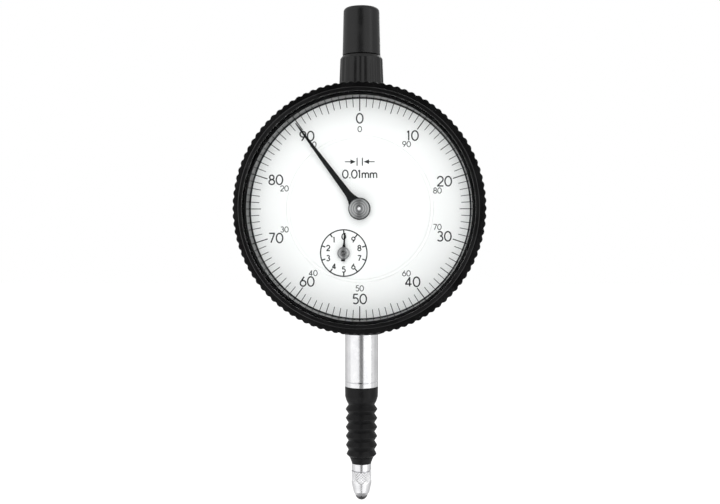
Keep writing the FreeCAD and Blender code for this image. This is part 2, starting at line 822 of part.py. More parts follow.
def make_contact_point():
    """Screw-in contact: stud, grip, cone and a ball in a socket."""
    body = turned_on_stem_axis("contact_blank", [
        ("0", "contact_stud_top"),
        ("contact_stud_radius", "contact_stud_top"),
        ("contact_stud_radius", "spindle_end"),
        ("contact_radius - contact_bevel", "spindle_end"),
        ("contact_radius", "spindle_end - contact_bevel"),
        ("contact_radius", "contact_knurl_end + contact_bevel"),
        ("contact_radius - contact_bevel", "contact_knurl_end"),
        ("contact_tip_radius", "contact_tip_end"),
        ("0", "contact_tip_end")])
    socket = DOC.addObject("Part::Sphere", "Socket")
    bind(socket, Radius="ball_radius + ball_gap", Placement__Base__z="dial_height + ball_rise")
    node(cut(body, socket), "contact_point")
    ball = DOC.addObject("Part::Sphere", "Ball")
    bind(ball, Radius="ball_radius", Placement__Base__z="dial_height + ball_rise")
    node(ball, "contact_ball")


# ---------------------------------------------------------------- movement plates

def make_main_plate():
    """Disc with two flats that carries the whole movement on the corner bosses."""
    disc = rod_along_y("plate_radius", "plate_front", "plate_back")
    limits = block("-plate_radius", "plate_radius", "plate_front", "plate_back", "-plate_flat", "plate_flat")
    jewel_seats = [rod_along_y("jewel_seat", "plate_front", "plate_back", *place)
                   for place in (CENTRE, TAKEUP)]
    arbor_hole = rod_along_y("arbor_clear_radius", "plate_front", "plate_back", *COUNTER)
    screw_places = CORNERS + BRIDGE_PILLARS + COCK_PILLARS
    taps = [rod_along_y("pillar_bore", "plate_front", "plate_back", *place) for place in screw_places]
    node(cut(common(disc, limits), arbor_hole, *jewel_seats, *taps), "main_plate")
    node(group(*[slotted_screw(place, "pillar_radius", "plate_front - slot_depth * 2", "plate_front",
                               "pillar_bore - screw_gap", "-screw_gap")
                 for place in CORNERS]), "plate_screws")


def make_bridge():
    """Cross-shaped bridge in front of the wheels, its pillars and its screws."""
    bridge = new_body("bridge_blank")
    bridge.Placement.Rotation = FreeCAD.Rotation(FreeCAD.Vector(0, 1, 0), train_lean())
    for across, rise in (("bridge_half_width", "bridge_half_length"),
                         ("pillar_offset + bridge_half_width", "bridge_half_width")):
        arm = new_sketch(bridge, "XZ_Plane", "-(bridge_back)")
        draw_outline(arm, [(across, rise), ("-(%s)" % across, rise),
                           ("-(%s)" % across, "-(%s)" % rise), (across, "-(%s)" % rise)])
        pad_from(bridge, arm, "bridge_back - bridge_front")
    seats = [rod_along_y("jewel_seat", "bridge_front", "bridge_back", *place)
             for place in (CENTRE, COUNTER, TAKEUP)]
    holes = [rod_along_y("pillar_bore", "bridge_front", "bridge_back", *place) for place in BRIDGE_PILLARS]
    node(cut(bridge, *seats, *holes), "upper_bridge")
    node(group(*[tube_along_y("pillar_radius", "pillar_bore", "bridge_back", "plate_front", place)
                 for place in BRIDGE_PILLARS]), "bridge_pillars")
    node(group(*[slotted_screw(place, "pillar_radius", "bridge_front - slot_depth", "bridge_front",
                               "pillar_bore - screw_gap", "plate_back - screw_gap")
                 for place in BRIDGE_PILLARS]), "bridge_screws")


def make_rear_cock():
    """Plate behind the spindle that holds the back of the counter arbor."""
    plate = block("cock_left", "cock_right", "cock_front", "cock_back", "cock_bottom", "cock_top")
    seat = rod_along_y("jewel_seat", "cock_front", "cock_back", *COUNTER)
    holes = [rod_along_y("pillar_bore", "cock_front", "cock_back", *place) for place in COCK_PILLARS]
    node(cut(plate, seat, *holes), "rear_cock")
    node(group(*[tube_along_y("pillar_radius", "pillar_bore", "plate_back", "cock_front", place)
                 for place in COCK_PILLARS]), "cock_pillars")
    node(group(*[slotted_screw(place, "pillar_radius", "cock_back + slot_depth * 2", "cock_back",
                               "pillar_bore - screw_gap", "plate_back + screw_gap")
                 for place in COCK_PILLARS]), "cock_screws")


def make_jewels():
    """Pierced bearings that the arbors turn in."""
    small = "pivot_radius + pivot_gap"
    large = "hand_pivot_radius + pivot_gap"
    node(group(tube_along_y("jewel_radius", small, "plate_front", "plate_back", CENTRE),
               tube_along_y("jewel_radius", small, "plate_front", "plate_back", TAKEUP),
               tube_along_y("jewel_radius", small, "cock_front", "cock_back", COUNTER),
               tube_along_y("jewel_radius", large, "bridge_front", "bridge_back", CENTRE),
               tube_along_y("jewel_radius", large, "bridge_front", "bridge_back", COUNTER),
               tube_along_y("jewel_radius", small, "bridge_front", "bridge_back", TAKEUP)), "jewel_bearings")


# ---------------------------------------------------------------- gear train

def toothed_disc(module, teeth, shift, thickness):
    """Involute spur gear in the XY plane with a tooth on +X, standing on the plane."""
    builder = fcgear.FCWireBuilder()
    involute.CreateExternalGear(builder, size(module), size_count(teeth), 20, shiftCoeff=size(shift))
    rim = Part.Wire([piece.toShape() for piece in builder.wire])
    return Part.Face(rim).extrude(FreeCAD.Vector(0, 0, size(thickness)))


def upright_gear(shape, place, back, tooth_angle):
    """Stand a gear up facing the reader, its first tooth at an angle from +X towards +Z."""
    gear = DOC.addObject("Part::Feature", "Gear")
    gear.Shape = shape
    turn = FreeCAD.Rotation(FreeCAD.Vector(1, 0, 0), 90)
    phase = FreeCAD.Rotation(FreeCAD.Vector(0, 0, 1), tooth_angle)
    centre = FreeCAD.Vector(size(place[0]), size(back), size("dial_height") + size(place[1]))
    gear.Placement = FreeCAD.Placement(centre, turn * phase)
    return gear


def wheel(place, tooth_angle):
    """Large wheel with round windows and a bore for its arbor."""
    blank = toothed_disc("gear_module", "wheel_teeth", "wheel_shift", "wheel_thickness")
    height = size("wheel_thickness")
    openings = [Part.makeCylinder(size("shaft_radius + press_gap"), height)]
    for window in range(size_count("wheel_windows")):
        angle = 2 * math.pi * window / size("wheel_windows")
        spot = FreeCAD.Vector(math.cos(angle), math.sin(angle), 0) * size("wheel_window_ring")
        openings.append(Part.makeCylinder(size("wheel_window_radius"), height, spot))
    return upright_gear(blank.cut(openings), place, "wheel_back", tooth_angle)


def arbor(label, place, steps):
    """Turned arbor from (radius, depth) pairs, each the end of one diameter, back to front."""
    (radius, depth), *others = steps
    profile = [("0", depth), (radius, depth)]
    for next_radius, next_depth in others:
        profile.append((radius, next_depth))
        profile.append((next_radius, next_depth))
        radius = next_radius
    profile[-1] = ("0", others[-1][1])
    body = turned_on_dial_axis(label, profile)
    bind(body, Placement__Base__x=place[0], Placement__Base__z="dial_height + (%s)" % place[1])
    return body


def make_counter_train():
    """Rack pinion, wheel and arbor: one turn for ten millimetres, against the clock."""
    shaft = arbor("counter_arbor", COUNTER, [
        ("pivot_radius", "cock_back - shaft_end_play"),
        ("shaft_radius", "cock_front - shaft_end_play"),
        ("thin_shaft_radius", "wheel_back - wheel_thickness - shaft_end_play"),
        ("hand_pivot_radius", "bridge_back + shaft_end_play"),
        ("0", "hand_hub_front - shaft_end_play")])
    node(shaft, "counter_arbor")
    to_centre = 90 - train_lean()
    node(wheel(COUNTER, to_centre), "counter_wheel")
    depth = "2 * rack_pinion_half"
    teeth = toothed_disc("rack_pitch / %.9f" % math.pi, "rack_pinion_teeth", "rack_pinion_shift", depth)
    bore = Part.makeCylinder(size("shaft_radius + press_gap"), size(depth))
    node(upright_gear(teeth.cut(bore), COUNTER, "rack_pinion_half", 0), "rack_pinion")


def make_centre_pinion():
    """Ten-leaf pinion and arbor in one piece: one turn for each millimetre, with the clock."""
    shaft = arbor("centre_shaft", CENTRE, [
        ("pivot_radius", "plate_back - shaft_end_play"),
        ("thin_shaft_radius", "plate_front - shaft_end_play"),
        ("hand_pivot_radius", "bridge_back + shaft_end_play"),
        ("0", "boss_front - shaft_end_play")])
    leaves = toothed_disc("gear_module", "pinion_teeth", "pinion_shift", "pinion_back - pinion_front")
    to_counter = 270 - train_lean()
    gap_towards_counter = to_counter + 180 / size("pinion_teeth")
    node(fuse(shaft, upright_gear(leaves, CENTRE, "pinion_back", gap_towards_counter)), "centre_pinion")


def make_takeup_train():
    """Wheel, arbor and collet that hold the teeth against one flank."""
    shaft = arbor("takeup_arbor", TAKEUP, [
        ("pivot_radius", "plate_back - shaft_end_play"),
        ("shaft_radius", "plate_front - shaft_end_play"),
        ("thin_shaft_radius", "wheel_back - wheel_thickness - shaft_end_play"),
        ("pivot_radius", "bridge_back + shaft_end_play"),
        ("0", "bridge_front")])
    node(shaft, "takeup_arbor")
    to_centre = 270 - train_lean()
    node(wheel(TAKEUP, to_centre), "takeup_wheel")
    front = "hairspring_front"
    node(tube_along_y("collet_radius", "thin_shaft_radius + press_gap", front,
                      front + " + hairspring_width", TAKEUP), "hairspring_collet")


def make_hairspring():
    """Flat spiral strip round the collet, and the stud that holds its outer end."""
    turns = size("hairspring_turns")
    half = size("hairspring_strip") / 2
    steps = 24 * size_count("hairspring_turns")
    sides = []
    for offset in (-half, half):
        spots = []
        for step in range(steps + 1):
            angle = 2 * math.pi * turns * step / steps
            radius = size("hairspring_inner") + size("hairspring_growth") * angle / (2 * math.pi) + offset
            spots.append(FreeCAD.Vector(radius * math.cos(angle), radius * math.sin(angle), 0))
        curve = Part.BSplineCurve()
        curve.interpolate(spots)
        sides.append(curve)
    inner, outer = sides
    inner_end = Part.LineSegment(outer.StartPoint, inner.StartPoint)
    outer_end = Part.LineSegment(inner.EndPoint, outer.EndPoint)
    edges = [inner.toShape(), outer_end.toShape(), outer.toShape(), inner_end.toShape()]
    outline = Part.Face(Part.Wire(Part.__sortEdges__(edges)))
    strip = outline.extrude(FreeCAD.Vector(0, 0, size("hairspring_width")))
    back = "hairspring_front + hairspring_width"
    node(upright_gear(strip, TAKEUP, back, 0), "hairspring")
    across = "arbor_across + hairspring_inner + hairspring_turns * hairspring_growth"
    reach = "%s + hairspring_strip / 2 + press_gap + pivot_radius" % across
    node(rod_along_y("pivot_radius", "bridge_back", back, reach, "arbor_rise"), "hairspring_stud")


# ---------------------------------------------------------------- guide, return spring and stop

def make_guide():
    """Slotted rail that the guide pin slides in, with a soft rest at its foot."""
    rail = block("guide_left", "guide_right", "plate_back", "guide_rear", "guide_bottom", "guide_top")
    slot = block("guide_left", "guide_right - guide_wall", "-guide_slot_half", "guide_slot_half",
                 "buffer_bottom", "guide_top")
    node(cut(rail, slot), "guide_rail")
    node(block("guide_left", "guide_right - guide_wall - press_gap", "-guide_slot_half + press_gap",
               "guide_slot_half - press_gap", "buffer_bottom",
               "guide_pin_rise - guide_pin_radius - buffer_gap"), "rest_buffer")


def make_return_spring():
    """Extension coil that pulls the guide pin down, and the post that it is anchored to."""
    coil = DOC.addObject("Part::Helix", "Coil")
    bind(coil, Radius="return_coil_radius", Pitch="return_coil_pitch",
         Height="return_coil_top - (return_coil_bottom)")
    DOC.recompute()
    start = FreeCAD.Vector(size("return_coil_radius"), 0, 0)
    section = Part.Wire(Part.makeCircle(size("return_wire_radius"), start, FreeCAD.Vector(0, 1, 0)))
    spring = DOC.addObject("Part::Feature", "Spring")
    spring.Shape = Part.Wire(coil.Shape.Edges).makePipeShell([section], True, True)
    bottom = size("dial_height") + size("return_coil_bottom")
    spring.Placement.Base = FreeCAD.Vector(size("return_coil_across"), 0, bottom)
    node(spring, "return_spring")
    node(rod_along_y("anchor_radius", "plate_back", "anchor_end", "return_coil_across", "anchor_rise"),
         "spring_anchor")


# ---------------------------------------------------------------- hands

def lean_hand(part, angle, place):
    """Turn an upright hand clockwise about its arbor, as the reader sees it."""
    part.Placement.Rotation = FreeCAD.Rotation(FreeCAD.Vector(0, 1, 0), size(angle))
    bind(part, Placement__Base__x=place[0], Placement__Base__z="dial_height + (%s)" % place[1])


def hand(label, outline, hub_radius, front, back, angle, place):
    """Flat hand with a round hub and a hole for its arbor."""
    body = new_body(label)
    blade = new_sketch(body, "XZ_Plane", "-(%s)" % back)
    right_side = list(outline)
    left_side = [("-(%s)" % across, along) for across, along in reversed(right_side)]
    draw_outline(blade, right_side + left_side)
    pad_from(body, blade, "%s - (%s)" % (back, front))
    hub = new_sketch(body, "XZ_Plane", "-(%s)" % back)
    draw_circle(hub, hub_radius)
    pad_from(body, hub, "%s - (%s)" % (back, front))
    hole = new_sketch(body, "XZ_Plane")
    draw_circle(hole, "hand_pivot_radius + press_gap")
    cut_through(body, hole)
    lean_hand(body, angle, place)
    return node(body, label)


def make_pointer():
    """Long pointer and the turned boss that holds it."""
    hand("pointer", [
        ("pointer_flare", "pointer_flare"),
        ("pointer_root_half", "pointer_flare_end"),
        ("pointer_mid_half", "pointer_mid"),
        ("pointer_tip_half", "pointer_length")],
        "pointer_hub_radius", "pointer_front", "pointer_back", "pointer_angle", CENTRE)
    boss = turned_on_dial_axis("pointer_boss", [
        ("hand_pivot_radius + press_gap", "pointer_front"),
        ("pointer_boss_radius", "pointer_front"),
        ("pointer_boss_radius", "boss_front"),
        ("hand_pivot_radius + press_gap", "boss_front")])
    round_ring(boss, "pointer_boss_radius", "boss_front", "Y", "pointer_boss_rounding")
    node(boss, "pointer_boss")


def make_counter_hand():
    """Small hand of the turn counter and its boss."""
    hand("counter_hand", [
        ("hand_tail_half", "-hand_tail"),
        ("hand_root_half", "hand_hub_radius"),
        ("hand_mid_half", "hand_mid"),
        ("hand_tip_half", "hand_length")],
        "hand_hub_radius", "hand_front", "hand_back", "hand_angle", COUNTER)
    boss = turned_on_dial_axis("counter_boss", [
        ("hand_pivot_radius + press_gap", "hand_front"),
        ("hand_boss_radius", "hand_front"),
        ("hand_boss_radius", "hand_front - slot_depth / 2"),
        ("hand_boss_step", "hand_hub_front"),
        ("hand_pivot_radius + press_gap", "hand_hub_front")])
    bind(boss, Placement__Base__x=COUNTER[0], Placement__Base__z="dial_height + (%s)" % COUNTER[1])
    node(boss, "counter_boss")


# ---------------------------------------------------------------- collar and cap

def make_collar():
    """Fluted collar on the top neck, with a spigot that the cap grips."""
    collar = turned_on_stem_axis("fluted_collar", [
        ("collar_thread_bore", "collar_bottom"),
        ("collar_bottom_radius", "collar_bottom"),
        ("collar_top_radius", "collar_top - collar_shoulder"),
        ("collar_top_radius - collar_shoulder", "collar_top"),
        ("spigot_radius", "collar_top"),
        ("spigot_radius", "spigot_top"),
        ("collar_bore", "spigot_top"),
        ("collar_bore", "top_neck_rise + screw_gap"),
        ("collar_thread_bore", "top_neck_rise + screw_gap")])
    flute = new_sketch(collar, "XY_Plane", "collar_bottom")
    draw_circle(flute, "flute_tool_radius", "collar_bottom_radius + flute_tool_offset")
    pocket = collar.newObject("PartDesign::Pocket", "Flute")
    pocket.Profile = flute
    pocket.Reversed = True
    bind(pocket, Length="flute_top - collar_bottom")
    DOC.recompute()
    repeat_round(collar, pocket, flute, "flute_count")
    node(collar, "fluted_collar")


def make_cap():
    """Tapered cap over the spindle's upper end."""
    cap = turned_on_stem_axis("spindle_cap", [
        ("cap_socket_radius", "cap_bottom"),
        ("cap_bottom_radius", "cap_bottom"),
        ("cap_top_radius", "cap_top"),
        ("0", "cap_top"),
        ("0", "cap_bore_top"),
        ("cap_bore", "cap_bore_top"),
        ("cap_bore", "cap_socket_top"),
        ("cap_socket_radius", "cap_socket_top")])
    round_ring(cap, "cap_top_radius", "cap_top", "Z", "cap_rounding")
    node(cap, "spindle_cap")


# ---------------------------------------------------------------- checks and files

SOLIDS = {"back_screws": 4, "stem_bushes": 2, "dial_posts": 2, "plate_screws": 4, "bridge_pillars": 2,
          "bridge_screws": 2, "cock_pillars": 2, "cock_screws": 2, "jewel_bearings": 6}


def check_document():
    """Stop if any object failed, or if a sub-part isn't the closed solids it should be."""
    for item in DOC.Objects:
        if {"Invalid", "Error"} & set(item.State):
            raise RuntimeError("%s (%s) failed" % (item.Name, item.Label))
    for label, part in NODES.items():
        shape = part.Shape
        if shape.isNull() or not shape.isValid():
            raise RuntimeError("%s has no valid shape" % label)
        if len(shape.Solids) != SOLIDS.get(label, 1):
            raise RuntimeError("%s has %d solids" % (label, len(shape.Solids)))


def write_parts():
    """Write one STEP file for each sub-part."""
    os.makedirs("parts", exist_ok=True)
    for label, part in NODES.items():
        part.Shape.exportStep(os.path.join("parts", label + ".step"))


fill_sheet()
make_case_body()
make_lug_back()
make_back_fasteners()
make_stem()
make_bushes()
make_snap_wire_and_seal()
make_boot()
make_bezel()
make_crystal()
make_dials()
make_spindle()
make_guide_pin()
make_contact_point()
make_main_plate()
make_bridge()
make_rear_cock()
make_jewels()
make_counter_train()
make_centre_pinion()
make_takeup_train()
make_hairspring()
make_guide()
make_return_spring()
make_pointer()
make_counter_hand()
make_collar()
make_cap()
DOC.recompute()
check_document()
write_parts()
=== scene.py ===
"""Looks of the plunger dial indicator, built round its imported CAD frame.

Lengths are in millimetres, measured from the dial's centre: rise is upwards from it and depth is
away from the reader. The helpers turn them into metres. In the studio, at the end, lengths are in
metres.
"""
import math

import bmesh
import bpy
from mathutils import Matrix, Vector


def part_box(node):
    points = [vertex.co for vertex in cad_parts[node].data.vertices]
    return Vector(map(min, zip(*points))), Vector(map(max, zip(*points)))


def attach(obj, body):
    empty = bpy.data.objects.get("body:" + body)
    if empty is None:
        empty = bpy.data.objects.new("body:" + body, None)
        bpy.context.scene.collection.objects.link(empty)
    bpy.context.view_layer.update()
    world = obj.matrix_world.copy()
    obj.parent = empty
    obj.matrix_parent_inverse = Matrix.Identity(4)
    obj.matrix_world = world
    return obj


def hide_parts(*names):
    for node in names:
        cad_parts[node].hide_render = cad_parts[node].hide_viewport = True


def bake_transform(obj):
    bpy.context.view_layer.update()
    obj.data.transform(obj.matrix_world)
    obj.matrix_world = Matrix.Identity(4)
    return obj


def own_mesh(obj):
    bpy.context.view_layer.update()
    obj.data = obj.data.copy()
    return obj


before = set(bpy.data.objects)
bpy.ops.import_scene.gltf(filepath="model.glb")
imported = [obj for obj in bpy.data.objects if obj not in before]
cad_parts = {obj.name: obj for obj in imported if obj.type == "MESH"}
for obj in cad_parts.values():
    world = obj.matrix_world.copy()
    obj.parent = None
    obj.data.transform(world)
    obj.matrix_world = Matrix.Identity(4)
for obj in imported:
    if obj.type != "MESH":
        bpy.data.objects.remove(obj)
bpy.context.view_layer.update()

MM = 0.001
TAU = 2 * math.pi


# ------------------------ places and sizes from the frame

def span(node, axis):
    """Lowest and highest place of a CAD node along an axis, in millimetres."""
    low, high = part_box(node)
    return low[axis] / MM, high[axis] / MM


def middle(node, axis):
    """Middle of a CAD node along an axis, in millimetres."""
    return sum(span(node, axis)) / 2


X, Y, Z = range(3)
DIAL_RISE = middle("crystal", Z)
DIAL = Vector((0, 0, DIAL_RISE * MM))
COUNTER_ACROSS = middle("counter_arbor", X)
COUNTER_RISE = middle("counter_arbor", Z) - DIAL_RISE


def rise_of(node):
    """Lowest and highest rise of a CAD node above the dial's centre."""
    low, high = span(node, Z)
    return low - DIAL_RISE, high - DIAL_RISE


# ------------------------ meshes

def new_piece(name, verts, faces, material, smooth=35):
    """Mesh piece from points in millimetres about the dial's centre, with faces turned outwards.

    Edges sharper than smooth degrees stay sharp, and 0 keeps every face flat.
    """
    mesh = bpy.data.meshes.new(name)
    mesh.from_pydata([tuple(c * MM for c in v) for v in verts], [], faces)
    tidy = bmesh.new()
    tidy.from_mesh(mesh)
    bmesh.ops.recalc_face_normals(tidy, faces=tidy.faces)
    tidy.to_mesh(mesh)
    tidy.free()
    mesh.polygons.foreach_set("use_smooth", [smooth > 0] * len(mesh.polygons))
    if smooth > 0:
        mesh.set_sharp_from_angle(angle=math.radians(smooth))
    mesh.materials.append(material)
    piece = bpy.data.objects.new(name, mesh)
    bpy.context.scene.collection.objects.link(piece)
    piece.location = DIAL
    return piece


def clamp(share):
    """Keep a share between 0 and 1."""
    return min(1, max(0, share))


# share of an outline's edge that one rounding may take up, and the room kept beside it
LONGEST_REACH = 0.46
FLAT_MARGIN = 0.03


def rounded(corners, steps=5):
    """Closed outline from (across, along, rounding) corners, each rounding drawn as an arc.

    A point just beyond each end of an arc keeps the faces beside it shaded flat.
    """
    outline = []
    count = len(corners)
    for index, (across, along, rounding) in enumerate(corners):
        here = Vector((across, along))
        if rounding <= 0:
            outline.append((across, along))
            continue
        before = Vector(corners[index - 1][:2]) - here
        after = Vector(corners[(index + 1) % count][:2]) - here
        half = before.angle(after) / 2
        longest = min(before.length, after.length) * LONGEST_REACH
        reach = min(rounding / math.tan(half), longest)
        radius = reach * math.tan(half)
        inward = (before.normalized() + after.normalized()).normalized()
        centre = here + inward * radius / math.sin(half)
        start = here + before.normalized() * reach - centre
        end = here + after.normalized() * reach - centre
        sweep = start.angle_signed(end)
        flat_reach = reach + FLAT_MARGIN * min(1, reach)
        outline.append(tuple(here + before.normalized() * flat_reach))
        for step in range(steps + 1):
            angle = -sweep * step / steps
            spot = centre + Vector((start.x * math.cos(angle) - start.y * math.sin(angle),
                                    start.x * math.sin(angle) + start.y * math.cos(angle)))
            outline.append((spot.x, spot.y))
        outline.append(tuple(here + after.normalized() * flat_reach))
    return outline


# a point nearer to the axis than this is on it
ON_AXIS = 1e-6


def lathe(name, outline, axis, material, segments, shape=None, closed=True, smooth=35):
    """Turn an outline of (radius, along) points round the dial's axis (Y) or the stem's axis (Z).

    shape(angle, radius, along) may change the radius. A point on the axis becomes one vertex.
    """
    verts, rows, faces = [], [], []
    for radius, along in outline:
        if radius < ON_AXIS:
            rows.append([len(verts)] * segments)
            verts.append((0, along, 0) if axis == "Y" else (0, 0, along))
            continue
        rows.append(list(range(len(verts), len(verts) + segments)))
        for segment in range(segments):
            angle = TAU * segment / segments
            reach = shape(angle, radius, along) if shape else radius
            across, other = reach * math.cos(angle), reach * math.sin(angle)
            verts.append((across, along, other) if axis == "Y" else (across, other, along))
    pairs = list(zip(rows, rows[1:] + rows[:1])) if closed else list(zip(rows, rows[1:]))
    for first, second in pairs:
        for segment in range(segments):
            after = (segment + 1) % segments
            corners = [first[segment], first[after], second[after], second[segment]]
            face = list(dict.fromkeys(corners))
            if len(face) > 2:
                faces.append(face)
    return new_piece(name, verts, faces, material, smooth=smooth)


def tube_faces(rows, ring):
    """Side faces and both ends of a tube made of rows with so many points to a ring."""
    faces = [(row * ring + corner, row * ring + (corner + 1) % ring,
              (row + 1) * ring + (corner + 1) % ring, (row + 1) * ring + corner)
             for row in range(rows - 1) for corner in range(ring)]
    return faces + [tuple(range(ring)), tuple((rows - 1) * ring + corner for corner in range(ring))]


# ------------------------ materials

def new_material(name):
    """Empty node material, its tree and its Principled shader."""
    material = bpy.data.materials.new(name)
    material.use_nodes = True
    tree = material.node_tree
    shader = tree.nodes["Principled BSDF"]
    return material, tree, shader


def grey(value, blue=None):
    """Grey colour, with its blue part a little different if given."""
    return value, value, value if blue is None else blue


def place_node(tree, scale=(1, 1, 1)):
    """Object coordinates scaled per axis, for a pattern that doesn't need UVs."""
    coordinates = tree.nodes.new("ShaderNodeTexCoord")
    mapping = tree.nodes.new("ShaderNodeMapping")
    mapping.inputs["Scale"].default_value = scale
    tree.links.new(coordinates.outputs["Object"], mapping.inputs["Vector"])
    return mapping.outputs["Vector"]


def noise(tree, place, per_mm, detail=4):
    """Noise with about so many grains to a millimetre."""
    texture = tree.nodes.new("ShaderNodeTexNoise")
    texture.inputs["Scale"].default_value = per_mm / MM
    texture.inputs["Detail"].default_value = detail
    texture.inputs["Roughness"].default_value = 0.55
    tree.links.new(place, texture.inputs["Vector"])
    return texture.outputs["Fac"]


def ranged(tree, source, start, end, low, high):
    """Run from low to high while a pattern runs from start to end."""
    ranges = tree.nodes.new("ShaderNodeMapRange")
    for socket, value in (("From Min", start), ("From Max", end), ("To Min", low), ("To Max", high)):
        ranges.inputs[socket].default_value = value
    tree.links.new(source, ranges.inputs["Value"])
    return ranges.outputs["Result"]


def spread(tree, source, low, high):
    """Stretch the busy middle of a 0 to 1 pattern between two values."""
    return ranged(tree, source, 0.3, 0.7, low, high)


def tint(tree, source, first, second):
    """Blend two colours by a pattern."""
    mix = tree.nodes.new("ShaderNodeMix")
    mix.data_type = "RGBA"
    mix.inputs["A"].default_value = (*first, 1)
    mix.inputs["B"].default_value = (*second, 1)
    tree.links.new(spread(tree, source, 0, 1), mix.inputs["Factor"])
    return mix.outputs["Result"]


def coat(tree, shader, color, pattern, smoother, rougher, metallic=0.0):
    """Give a shader its colour, and a roughness that follows a pattern between two values."""
    tree.links.new(color, shader.inputs["Base Color"])
    tree.links.new(spread(tree, pattern, smoother, rougher), shader.inputs["Roughness"])
    shader.inputs["Metallic"].default_value = metallic


def bump(tree, shader, source, height_mm):
    """Raise the surface by a pattern, up to a height in millimetres."""
    node = tree.nodes.new("ShaderNodeBump")
    node.inputs["Strength"].default_value = 1.0
    node.inputs["Distance"].default_value = height_mm * MM
    tree.links.new(source, node.inputs["Height"])
    tree.links.new(node.outputs["Normal"], shader.inputs["Normal"])


def worn_edges(tree, color, lighter, amount):
    """Lighten a colour where the surface is sharply convex."""
    geometry = tree.nodes.new("ShaderNodeNewGeometry")
    edge = ranged(tree, geometry.outputs["Pointiness"], 0.52, 0.62, 0, amount)
    mix = tree.nodes.new("ShaderNodeMix")
    mix.data_type = "RGBA"
    mix.inputs["B"].default_value = (*lighter, 1)
    tree.links.new(color, mix.inputs["A"])
    tree.links.new(edge, mix.inputs["Factor"])
    return mix.outputs["Result"]


def moulded_plastic(name, dark, light, rough, grain_mm):
    """Black plastic with a fine moulded grain, slightly lighter on its sharp edges."""
    material, tree, shader = new_material(name)
    place = place_node(tree)
    patches = noise(tree, place, 0.25)
    color = worn_edges(tree, tint(tree, patches, dark, light), tuple(4 * c for c in light), 0.25)
    coat(tree, shader, color, patches, rough - 0.05, rough + 0.06)
    shader.inputs["Specular IOR Level"].default_value = 0.36
    bump(tree, shader, noise(tree, place, 9, detail=2), grain_mm)
    return material


def turned_steel(name, shade, rough, along="Z", line_height=0.0004):
    """Ground steel with fine lines round the axis that it was turned on."""
    material, tree, shader = new_material(name)
    lines_per_mm, stretch = 14, 0.02
    fine = (stretch, stretch, 1) if along == "Z" else (stretch, 1, stretch)
    lines = noise(tree, place_node(tree, fine), lines_per_mm, detail=3)
    patches = noise(tree, place_node(tree), 0.4, detail=3)
    bright, dull = grey(shade, shade * 1.01), grey(shade * 0.86, shade * 0.88)
    coat(tree, shader, tint(tree, patches, bright, dull), lines, rough - 0.03, rough + 0.07, metallic=1.0)
    bump(tree, shader, lines, line_height)
    return material


def cast_metal(name):
    """Fine blasted die casting with a slight cloudiness."""
    material, tree, shader = new_material(name)
    place = place_node(tree)
    clouds = noise(tree, place, 0.12, detail=5)
    cloudy = tint(tree, clouds, (0.58, 0.59, 0.60), (0.72, 0.73, 0.74))
    # sharp convex edges painted lighter, towards near white
    color = worn_edges(tree, cloudy, (0.9, 0.9, 0.91), 0.6)
    coat(tree, shader, color, clouds, 0.34, 0.46, metallic=1.0)
    bump(tree, shader, noise(tree, place, 3, detail=3), 0.03)
    return material


def satin_paint(name):
    """Black satin enamel with a faint orange peel."""
    material, tree, shader = new_material(name)
    place = place_node(tree)
    patches = noise(tree, place, 0.3)
    enamel = tint(tree, patches, grey(0.005, 0.0055), grey(0.010, 0.0105))
    # sharp convex edges painted a lighter grey
    color = worn_edges(tree, enamel, grey(0.12), 0.35)
    coat(tree, shader, color, patches, 0.32, 0.42)
    shader.inputs["Specular IOR Level"].default_value = 0.3
    bump(tree, shader, noise(tree, place, 2.2, detail=2), 0.02)
    return material


def dial_paint(name):
    """Matt white lacquer with a barely visible stipple."""
    material, tree, shader = new_material(name)
    place = place_node(tree)
    stipple = noise(tree, place, 5, detail=3)
    coat(tree, shader, tint(tree, stipple, grey(0.90), grey(0.93)), stipple, 0.55, 0.68)
    shader.inputs["Specular IOR Level"].default_value = 0.25
    bump(tree, shader, stipple, 0.002)
    return material


def printing_ink(name):
    """Black pad-printing ink, a little uneven in thickness."""
    material, tree, shader = new_material(name)
    cover = noise(tree, place_node(tree), 12, detail=3)
    ink = tint(tree, cover, grey(0.010, 0.012), grey(0.028, 0.030))
    coat(tree, shader, ink, cover, 0.45, 0.6)
    return material


def lacquer(name):
    """Matt black lacquer of the hands."""
    material, tree, shader = new_material(name)
    place = place_node(tree)
    dust = noise(tree, place, 8, detail=4)
    black = tint(tree, dust, grey(0.003, 0.0032), grey(0.008, 0.0084))
    coat(tree, shader, black, dust, 0.40, 0.54)
    shader.inputs["Specular IOR Level"].default_value = 0.25
    bump(tree, shader, dust, 0.001)
    return material


def faced_metal(name, shade):
    """Metal faced on a lathe: fine rings, and highlights that fan out from its centre."""
    material, tree, shader = new_material(name)
    coordinates = tree.nodes.new("ShaderNodeTexCoord")
    rings = tree.nodes.new("ShaderNodeTexWave")
    rings.wave_type = "RINGS"
    rings.rings_direction = "Y"
    rings.inputs["Scale"].default_value = 0.6 / MM
    rings.inputs["Distortion"].default_value = 0.8
    rings.inputs["Detail"].default_value = 3
    tree.links.new(coordinates.outputs["Object"], rings.inputs["Vector"])
    tangent = tree.nodes.new("ShaderNodeTangent")
    tangent.direction_type = "RADIAL"
    tangent.axis = "Y"
    tree.links.new(tangent.outputs["Tangent"], shader.inputs["Tangent"])
    shader.inputs["Anisotropic"].default_value = 0.92
    shader.inputs["Anisotropic Rotation"].default_value = 0.25
    pattern = rings.outputs["Fac"]
    tone = tint(tree, pattern, grey(shade), grey(shade * 0.62, shade * 0.64))
    coat(tree, shader, tone, pattern, 0.34, 0.48, metallic=1.0)
    bump(tree, shader, pattern, 0.004)
    return material


